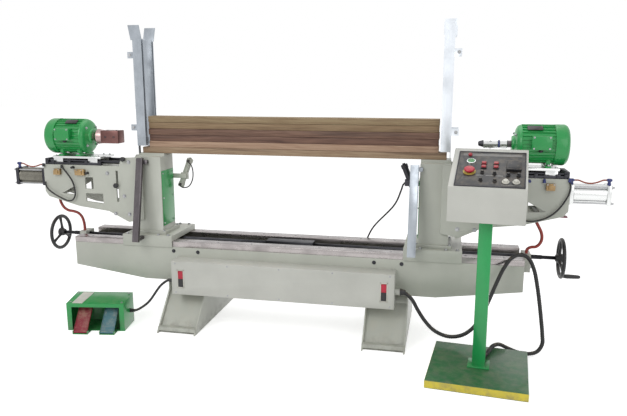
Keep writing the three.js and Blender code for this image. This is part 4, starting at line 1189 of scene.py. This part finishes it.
# %% Valves, bolts and knobs on the arms
def make_arm_fittings(side, sign):
    body = f"{side}_head"
    valves = bmesh.new()
    for x, wide in ((1.404, 0.044), (1.253, 0.062)):
        add_block(
            valves, (sign * (x - wide / 2), FRONT - 0.02, 0.866), (sign * (x + wide / 2), FRONT, 0.902),
            0.002,
        )
        add_block(
            valves, (sign * (x - wide / 4), FRONT - 0.025, 0.872),
            (sign * (x + wide / 4), FRONT - 0.019, 0.896), 0.0015,
        )
    finish_piece(valves, f"{side}_valve_blocks", body, brass)
    studs = bmesh.new()
    for x, z in ((0.939, 0.952), (0.978, 0.748), (1.04, 0.64), (1.08, 0.882), (0.95, 0.64)):
        add_bolt(studs, (sign * x, FRONT, z), (0, -1, 0), 0.015, 0.009)
    for x in (1.404, 1.253):
        for dx in (-0.016, 0.016):
            add_bolt(studs, (sign * (x + dx), FRONT - 0.02, 0.897), (0, -1, 0), 0.005, 0.004)
    finish_piece(studs, f"{side}_arm_bolts", body, zinc_bolt)
    knob = bmesh.new()
    add_turned(knob, (sign * 1.02, FRONT + 0.002, 0.812), (0, -1, 0), [
        (0, 0), (0, 0.006), (0.01, 0.006), (0.01, 0.011), (0.013, 0.014), (0.026, 0.0145), (0.03, 0.011), (
            0.03, 0,
        ),
    ], 10)
    add_turned(knob, (sign * 0.969, FRONT + 0.001, 0.969), (0, -1, 0), [
        (0, 0), (0, 0.01), (0.006, 0.01), (0.006, 0.013), (0.02, 0.014), (0.024, 0.011), (0.024, 0),
    ], 18)
    finish_piece(knob, f"{side}_arm_knobs", body, black_moulding)
    plugs = bmesh.new()
    for x, z in ((1.372, 0.905), (1.494, 0.912)):
        add_fitting(plugs, (sign * x, FRONT - 0.01, z), (0, 0, 1), 0.02)
    for x, z in ((1.207, 0.88), (1.3, 0.912)):
        add_fitting(plugs, (sign * x, FRONT, z), (0, -1, 0), 0.026)
    plug_look = fitting_blue if side == "right" else black_moulding
    finish_piece(plugs, f"{side}_arm_plugs", body, plug_look)
    band_shape = bmesh.new()
    add_block(band_shape, (sign * 1.118, FRONT + 0.004, 0.9262),
              (sign * 1.486, FRONT + 0.02, 0.94), 0.002)
    for x in (1.13, 1.22, 1.33, 1.44, 1.478):
        add_block(band_shape, (sign * (x - 0.01), FRONT + 0.001, 0.9255),
                  (sign * (x + 0.01), FRONT + 0.023, 0.948), 0.003)
    finish_piece(band_shape, f"{side}_stop_rail", body, black_steel)
    clips = bmesh.new()
    x = 1.448 if side == "left" else 1.482
    add_block(
        clips, (sign * (x - 0.034), FRONT + 0.014, 0.722), (sign * (x + 0.02), FRONT + 0.052, 0.7285), 0.002,
    )
    finish_piece(clips, f"{side}_arm_clip", body, hose_maroon)


for side, sign in SIDES.items():
    make_arm_fittings(side, sign)
print("arm fittings made")

# %% Carriage bolts and bearing seals
for side, sign in SIDES.items():
    caps = bmesh.new()
    for x in (1.15, 1.19, 1.4, 1.43):
        for way in (-1, 1):
            add_bolt(caps, (sign * x, HEAD_Y + way * 0.065, 0.975), (0, 0, 1), 0.008, 0.006)
    finish_piece(caps, f"{side}_carriage_bolts", f"{side}_feed", zinc_bolt)
    seals = bmesh.new()
    for x in (1.15, 1.378):
        for way in (-1, 1):
            for face in (x - 0.0016, x + 0.06):
                add_turned(seals, (sign * face, HEAD_Y + way * 0.065, 0.945), (sign, 0, 0), [
                    (0, 0.0115), (0, 0.015), (0.0016, 0.015), (0.0016, 0.0115), (0, 0.0115),
                ], 28)
    finish_piece(seals, f"{side}_bearing_seals", f"{side}_feed", black_moulding)
print("carriages finished")

# %% [markdown]
# ## Clamp cylinders
# Behind each column a small cylinder clamps the lowest board. It leans on its bracket. It is a turned tube
# with two caps, and a black hose runs from it.

# %% Clamp cylinders
def make_clamp(side, sign):
    lean = math.radians(22)  # the top leans inwards
    middle = Vector((sign * 0.677, BED_Y + 0.0823, 0.872))
    line = Vector((-sign * math.sin(lean), 0, math.cos(lean)))
    shape = bmesh.new()
    add_turned(shape, middle - line * 0.095, line, [
        (0, 0), (0, 0.018), (0.003, 0.02), (0.024, 0.02), (0.025, 0.0175), (0.16, 0.0175), (0.161, 0.02),
        (0.18, 0.02), (0.183, 0.018), (0.183, 0.008), (0.19, 0.008), (0.19, 0),
    ], 40)
    add_block(shape, (sign * 0.661, BED_Y + 0.0503, 0.838), (sign * 0.795, BED_Y + 0.0603, 0.866), 0.002)
    add_block(shape, (sign * 0.653, BED_Y + 0.0593, 0.832), (sign * 0.701, BED_Y + 0.0703, 0.872), 0.002)
    finish_piece(
        shape, f"{side}_clamp", f"{side}_head", warm_grey if side == "left" else black_steel,
        34.0, (f"{side}_clamp_cylinder",),
    )
    trim = bmesh.new()
    for x in (0.73, 0.775):
        add_bolt(trim, (sign * x, BED_Y + 0.0603, 0.852), (0, 1, 0), 0.011, 0.007)
    for reach in (-0.078, 0.076):
        add_fitting(trim, middle + line * reach + Vector((0, -0.0195, 0)), (0, -1, 0), 0.018)
    finish_piece(trim, f"{side}_clamp_fittings", f"{side}_head", black_moulding)


for side, sign in SIDES.items():
    make_clamp(side, sign)
air_tube("left_clamp_loop", "left", [
    (-0.6485, 0.2425, 0.9425), (-0.64, 0.24, 0.938), (-0.62, 0.238, 0.915), (
        -0.612, 0.237, 0.87,
    ),
    (-0.62, 0.237, 0.825), (-0.645, 0.238, 0.79), (-0.68, 0.2395, 0.782), (
        -0.7, 0.241, 0.792,
    ),
    (-0.7062, 0.2425, 0.7997),
], 0.007, black_rubber)
print("clamps made")

# %% [markdown]
# ## The control desk
# The panel's controls stand on a slope, so one matrix carries them there: across the panel, up the panel,
# and out of it. Lamps are short turned lenses in bezels. The buttons and dials ride on their own bodies.

# %% Desk slope
STAND = Matrix.Translation((1.074, -0.489 + BED_Y, 0.0)) @ Matrix.Rotation(math.radians(-5.5), 4, "Z")
SLOPE = math.atan2(1.083 - 0.938, 0.222 + 0.102)
DESK = STAND @ Matrix.Translation((0.0, -0.102, 0.938)) @ Matrix.Rotation(SLOPE, 4, "X")
TOP = 0.0033  # the panel's face above the desk


def desk_point(across, up, out=TOP):
    return DESK @ Vector((across, up, out))


OUT = (DESK.to_3x3() @ Vector((0, 0, 1))).normalized()


def desk_block(shape, low, high, edge=0.001):
    """A block drawn level and carried onto the slope."""
    made = add_block(shape, low, high, edge)
    bmesh.ops.transform(shape, matrix=DESK, verts=[v for v in made if v.is_valid])


def turned_on_desk(shape, across, up, profile, sides=32):
    add_turned(shape, desk_point(across, up), OUT, profile, sides)


# %% Panel surround, blank label strips and the timer
strips = bmesh.new()
desk_block(strips, (-0.128, 0.278, TOP), (0.146, 0.3, TOP + 0.0008), 0.0003)
for x in (-0.04, 0.004, 0.048):
    desk_block(strips, (x - 0.017, 0.098, TOP), (x + 0.017, 0.108, TOP + 0.0008), 0.0003)
desk_block(strips, (0.06, 0.024, TOP), (0.148, 0.03, TOP + 0.0008), 0.0003)
finish_piece(strips, "blank_label_strips", "frame", label_grey)
surround = bmesh.new()
for low, high in (
    ((-0.15, 0.01, 0.0002), (-0.1452, 0.322, TOP + 0.0012)),
    ((0.1602, 0.01, 0.0002), (0.165, 0.322, TOP + 0.0012)),
    ((-0.15, 0.009, 0.0002), (0.165, 0.0138, TOP + 0.0012)),
    ((-0.15, 0.3182, 0.0002), (0.165, 0.323, TOP + 0.0012)),
):
    desk_block(surround, low, high, 0.0008)
finish_piece(surround, "panel_surround", "frame", black_steel)
timer = bmesh.new()
desk_block(timer, (0.078, 0.15, TOP), (0.146, 0.232, TOP + 0.012), 0.003)
desk_block(timer, (0.086, 0.16, TOP + 0.012), (0.138, 0.222, TOP + 0.0135), 0.001)
finish_piece(timer, "timer", "frame", black_moulding)

# %% Lamps and small knobs
lamps = bmesh.new()
bezels = bmesh.new()
turned_on_desk(
    lamps, -0.096, 0.286, [(0, 0), (0, 0.01), (0.006, 0.01), (0.01, 0.007), (0.0115, 0.003), (0.0115, 0)],
)
for x in (-0.026, 0.03):
    for y in (0.178, 0.212):
        desk_block(lamps, (x - 0.011, y - 0.01, TOP + 0.001), (x + 0.011, y + 0.01, TOP + 0.009), 0.003)
        desk_block(bezels, (x - 0.014, y - 0.013, TOP), (x + 0.014, y + 0.013, TOP + 0.004), 0.0015)
finish_piece(lamps, "red_lamps", "frame", lamp_red)
for x, y in (
    (-0.03, 0.128), (-0.034, 0.062), (0.026, 0.12), (0.03, 0.058), (0.088, 0.112), (0.134, 0.112),
):
    turned_on_desk(
        bezels, x, y, [(0, 0), (0, 0.01), (0.004, 0.01), (0.005, 0.0075), (0.014, 0.0065), (0.015, 0)], 20,
    )
finish_piece(bezels, "bezels_and_knobs", "frame", black_moulding)

# %% Emergency stop, start button and dials
STEM_FOOT = -0.005  # the buttons' stems start this far below the desk
turned_piece("stop_ring", "frame", ring_yellow, desk_point(-0.089, 0.134), OUT, [
    (0, 0.0145), (0, 0.03), (0.001, 0.03), (0.0014, 0.0295), (0.0014, 0.015), (0.001, 0.0145), (
        0, 0.0145,
    ),
], 40)
turned_piece(
    "stop_mushroom", "emergency_stop", red_moulding,
    desk_point(-0.089, 0.134, STEM_FOOT), OUT, [
        (0, 0), (0, 0.0125), (0.017, 0.0125), (0.0172, 0.0235), (0.0195, 0.025), (0.024, 0.0245),
        (0.027, 0.0215), (0.0285, 0.015), (0.029, 0),
    ], 48, 30.0, ("emergency_stop",),
)
turned_piece("start_bezel", "frame", bright_alloy, desk_point(-0.087, 0.226), OUT, [
    (0, 0.0176), (0, 0.0225), (0.005, 0.0215), (0.006, 0.02), (0.006, 0.0176), (0, 0.0176),
], 40)
turned_piece(
    "start_cap", "start_button", green_moulding,
    desk_point(-0.087, 0.226, STEM_FOOT), OUT, [
        (0, 0), (0, 0.0168), (0.014, 0.0168), (0.0158, 0.0152), (0.016, 0.012), (0.015, 0.01), (
            0.0148, 0,
        ),
    ], 48, 30.0, ("start_button",),
)
for name, across in (("left_dial", 0.078), ("right_dial", 0.124)):
    dial = bmesh.new()
    turned_on_desk(dial, across, 0.052, [
        (0.0004, 0), (0.0004, 0.0165), (0.0025, 0.017), (0.0045, 0.0165), (0.005, 0.012), (0.013, 0.0105),
        (0.014, 0.009), (0.014, 0),
    ], 36)
    desk_block(dial, (across - 0.0016, 0.053, TOP + 0.0135), (across + 0.0016, 0.063, TOP + 0.0148), 0.0004)
    finish_piece(dial, f"{name}_knob", name, ivory_moulding, 30.0, (name,))
print("desk finished")

# %% [markdown]
# ## Rocker switches, foot switch and stand base
# Each rocker is red above and dark below, in a pale frame. The pedals have ribs against slipping, and the
# base has a yellow edge so that nobody trips over it.

# %% Rocker switches
BOX_FRONT = BED_Y - 0.272  # the face of the electrical box
PROUD = 0.006  # how far a rocker's tips stand out

for side in SIDES:
    low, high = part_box(f"{side}_power_switch")
    centre = (low + high) / 2
    for half_name, near, far, tip in (
        ("upper", centre.z + 0.0005, high.z, -0.002), ("lower", centre.z - 0.0005, low.z, 0.002),
    ):
        half_shape = bmesh.new()
        outline = [
            (BOX_FRONT + 0.0042, near), (BOX_FRONT - 0.003, near), (BOX_FRONT - PROUD, far + tip),
            (BOX_FRONT - PROUD + 0.0015, far), (BOX_FRONT + 0.001, far),
        ]
        ends = []
        for x in (low.x, high.x):
            ends.append([half_shape.verts.new((x, y, z)) for y, z in outline])
        half_shape.faces.new(ends[0])
        half_shape.faces.new(ends[1][::-1])
        for k in range(5):
            n = (k + 1) % 5
            half_shape.faces.new((ends[0][k], ends[1][k], ends[1][n], ends[0][n]))
        bmesh.ops.recalc_face_normals(half_shape, faces=half_shape.faces)
        bmesh.ops.bevel(
            half_shape, geom=list(half_shape.edges), offset=0.0012, segments=2, profile=0.5, affect="EDGES",
        )
        finish_piece(
            half_shape, f"{side}_rocker_{half_name}", f"{side}_power_switch",
            red_moulding if half_name == "upper" else black_moulding, 40.0,
            (f"{side}_power_switch",) if half_name == "upper" else (),
        )
    frame_shape = bmesh.new()
    for a, b in (
        ((low.x - 0.0065, BOX_FRONT - 0.003, low.z - 0.008), (low.x - 0.0008, BOX_FRONT, high.z + 0.008)),
        ((high.x + 0.0008, BOX_FRONT - 0.003, low.z - 0.008), (high.x + 0.0065, BOX_FRONT, high.z + 0.008)),
        ((low.x - 0.0065, BOX_FRONT - 0.003, high.z + 0.0025), (high.x + 0.0065, BOX_FRONT, high.z + 0.008)),
        ((low.x - 0.0065, BOX_FRONT - 0.003, low.z - 0.008), (high.x + 0.0065, BOX_FRONT, low.z - 0.0025)),
    ):
        add_block(frame_shape, a, b, 0.001)
    finish_piece(frame_shape, f"{side}_switch_frame", "frame", ivory_moulding)
cover_screws = bmesh.new()
for x in (-0.612, -0.3, 0.0, 0.3, 0.612):
    for z in (0.226, 0.396):
        add_turned(cover_screws, (x, BOX_FRONT, z), (0, -1, 0), [
            (0, 0), (0, 0.0052), (0.0012, 0.0048), (0.002, 0.003), (0.002, 0),
        ], 20)
finish_piece(cover_screws, "cover_screws", "frame", zinc_bolt)
print("switches finished")

# %% Pedals
FOOT = Matrix.Translation((-1.075, -0.308 + BED_Y, 0.0)) @ Matrix.Rotation(math.radians(9.5), 4, "Z")
TREAD_RISE, TREAD_RUN = 0.114, 0.108
TREAD = math.atan2(TREAD_RISE, TREAD_RUN)
TREAD_LENGTH = math.hypot(TREAD_RISE, TREAD_RUN)


def guard_top(y):
    """The guard's top rises to the back."""
    return 0.163 + (y + 0.085) / 0.17 * 0.015


for name, middle, look in (("red_pedal", -0.072, red_pad), ("blue_pedal", 0.082, blue_pad)):
    place = FOOT @ Matrix.Translation((middle, -0.136, 0.012)) @ Matrix.Rotation(TREAD, 4, "X")
    pad = bmesh.new()
    add_block(pad, (-0.039, -0.004, -0.003), (0.039, TREAD_LENGTH, 0.0055), 0.002)
    for i in range(17):
        y = 0.01 + i * 0.0085
        add_block(pad, (-0.034, y, 0.0045), (0.034, y + 0.0042, 0.0072), 0.0008)
    for way in (-1, 1):
        add_block(pad, (way * 0.039, 0.0, 0.002), (way * 0.0365, TREAD_LENGTH - 0.002, 0.0092), 0.0008)
    add_turned(pad, (-0.039, 0, 0), (1, 0, 0), rod_profile(0.078, 0.0072), 28)
    bmesh.ops.transform(pad, matrix=place, verts=pad.verts)
    finish_piece(pad, f"{name}_tread", name, look, 34.0, (name,))
guard_trim = bmesh.new()
guard_out = (FOOT.to_3x3() @ Vector((0, -0.088, 1))).normalized()
for x in (-0.15, 0.15):
    for y in (-0.062, 0.062):
        add_bolt(guard_trim, FOOT @ Vector((x, y, guard_top(y))), guard_out, 0.008, 0.004)
finish_piece(guard_trim, "guard_screws", "frame", zinc_bolt)
patch = bmesh.new()
corners = [(-0.135, -0.081), (-0.075, -0.083), (-0.062, 0.07), (-0.128, 0.076)]
rim = [patch.verts.new(FOOT @ Vector((x, y, guard_top(y) + 0.0004))) for x, y in corners]
face = patch.faces.new(rim)
lifted = bmesh.ops.extrude_face_region(patch, geom=[face])["geom"]
bmesh.ops.translate(patch, vec=(0, 0, 0.0009), verts=[v for v in lifted if isinstance(v, bmesh.types.BMVert)])
finish_piece(patch, "guard_worn_tape", "frame", ivory_moulding)

# %% Stand base edge and pole foot
edge = bmesh.new()
for a, b in (
    ((-0.2334, -0.2434, 0.003), (0.2334, -0.2418, 0.0385)),
    ((-0.2336, -0.2434, 0.003), (-0.2328, 0.242, 0.0385)),
):
    made = add_block(edge, a, b, 0.0004)
    bmesh.ops.transform(edge, matrix=STAND, verts=[v for v in made if v.is_valid])
finish_piece(edge, "base_yellow_edge", "frame", edge_yellow)
foot_plate = bmesh.new()
for a, b in (
    ((-0.052, -0.044, 0.0402), (0.052, 0.06, 0.0462)),
    ((-0.052, -0.044, 0.769), (0.052, 0.06, 0.7748)),
):
    ring_blocks = [
        ((a[0], a[1], a[2]), (-0.0315, b[1], b[2])), ((0.0315, a[1], a[2]), (b[0], b[1], b[2])),
        ((-0.0315, a[1], a[2]), (0.0315, -0.0235, b[2])), ((-0.0315, 0.0395, a[2]), (0.0315, b[1], b[2])),
    ]
    for low, high in ring_blocks:
        made = add_block(foot_plate, low, high, 0.001)
        bmesh.ops.transform(foot_plate, matrix=STAND, verts=[v for v in made if v.is_valid])
finish_piece(foot_plate, "pole_flanges", "frame", pole_green)
print("stand finished")

# %% [markdown]
# ## Bolts and seams on the frame
# Last come the fixings: bolts on the saddles and column feet, screws in the green covers, bolts in the tabs
# of the rails, and bolts and screws on the bed. Fixings that ride together share one piece.

# %% Fixings
for side, sign in SIDES.items():
    fixings = bmesh.new()
    for x in (0.7, 0.76, 0.895, 0.955):
        for way in (-1, 1):
            add_bolt(fixings, (sign * x, BED_Y + way * 0.156, 0.528), (0, 0, 1), 0.014, 0.008)
    for x in (0.736, 0.914):
        for way in (-0.095, 0.095):
            add_bolt(fixings, (sign * x, HEAD_Y + way * 0.98, 0.5463), (0, 0, 1), 0.011, 0.007)
    for z in (0.59, 0.74, 0.885):
        for way in (-0.068, 0.068):
            add_bolt(fixings, (sign * 0.7417, HEAD_Y + way, z), (-sign, 0, 0), 0.007, 0.004)
    for way in (-0.03, 0.03):
        add_bolt(fixings, (sign * 1.345, BED_Y + way, 0.425), (sign, 0, 0), 0.011, 0.007)
    for y0, out in ((BED_Y - 0.062, -1), (BED_Y + 0.042, 1)):
        for z in (1.15, 1.562):
            add_bolt(fixings, (sign * 0.922, y0 + out * 0.018, z), (0, out, 0), 0.012, 0.007)
    finish_piece(fixings, f"{side}_head_bolts", f"{side}_head", zinc_bolt)
bed_fixings = bmesh.new()
for x in (-0.588, 0.588):
    for dx in (-0.075, 0.075):
        for way in (-1, 1):
            add_bolt(bed_fixings, (x + dx, BED_Y + way * 0.168, 0.44), (0, way, 0), 0.014, 0.008)
for way in (-1, 1):
    for i in range(13):
        x = -1.2 + 0.2 * i
        add_turned(bed_fixings, (x, BED_Y + way * 0.13, 0.4955), (0, 0, 1), [
            (0, 0), (0, 0.0065), (0.0007, 0.0065), (0.0007, 0.0035), (0.0003, 0.0035), (0.0003, 0),
        ], 16)
finish_piece(bed_fixings, "bed_bolts", "frame", black_steel)
print("fixings made")

# %% [markdown]
# ## Floor and light
# The machine stands on a plain pale floor. The floor keeps the machine's shadow but looks white to the
# camera and in reflections, which Light Path allows inside the floor's own material. Three soft lamps and
# an even sky light it at a plain level.

# %% Floor
floor_mesh = bpy.data.meshes.new("floor")
floor_shape = bmesh.new()
bmesh.ops.create_grid(floor_shape, x_segments=2, y_segments=2, size=30.0)
floor_shape.to_mesh(floor_mesh)
floor_shape.free()
floor = bpy.data.objects.new("floor", floor_mesh)
floor.location.z = -0.0005
bpy.context.scene.collection.objects.link(floor)
floor_look = bpy.data.materials.new("pale_floor")
floor_look.use_nodes = True
tree = floor_look.node_tree
floor_shader = tree.nodes["Principled BSDF"]
floor_shader.inputs["Base Color"].default_value = (0.88, 0.88, 0.88, 1.0)
floor_shader.inputs["Roughness"].default_value = 0.9
floor_shader.inputs["Emission Color"].default_value = (1.0, 1.0, 1.0, 1.0)
seen = tree.nodes.new("ShaderNodeLightPath")
straight = math_node(tree, "MAXIMUM", seen.outputs["Is Camera Ray"], seen.outputs["Is Glossy Ray"])
tree.links.new(math_node(tree, "MULTIPLY", straight, 0.62), floor_shader.inputs["Emission Strength"])
floor_mesh.materials.append(floor_look)

# %% Sky and lamps
sky = bpy.data.worlds.new("studio_sky")
sky.use_nodes = True
bpy.context.scene.world = sky
tree = sky.node_tree
background = tree.nodes["Background"]
background.inputs["Color"].default_value = (1.0, 1.0, 1.0, 1.0)
seen = tree.nodes.new("ShaderNodeLightPath")
straight = math_node(tree, "MAXIMUM", seen.outputs["Is Camera Ray"], seen.outputs["Is Glossy Ray"])
strength = math_node(tree, "ADD", math_node(tree, "MULTIPLY", straight, 0.5), 0.5)
tree.links.new(strength, background.inputs["Strength"])


def soft_lamp(name, place, aim, power, size):
    lamp = bpy.data.lights.new(name, "AREA")
    lamp.shape = "SQUARE"
    lamp.size = size
    lamp.energy = power
    holder = bpy.data.objects.new(name, lamp)
    holder.location = place
    holder.rotation_euler = (Vector(aim) - Vector(place)).to_track_quat("-Z", "Y").to_euler()
    bpy.context.scene.collection.objects.link(holder)


soft_lamp("key_lamp", (-1.6, -3.2, 3.2), (0.0, 0.1, 0.7), 62.0, 2.2)
soft_lamp("fill_lamp", (3.2, -2.6, 2.2), (0.4, 0.1, 0.7), 26.0, 2.4)
soft_lamp("top_lamp", (0.2, 0.8, 3.6), (0.0, 0.2, 0.6), 30.0, 2.8)
bpy.context.scene.view_settings.view_transform = "Standard"
print("lamps:", len(bpy.data.lights))
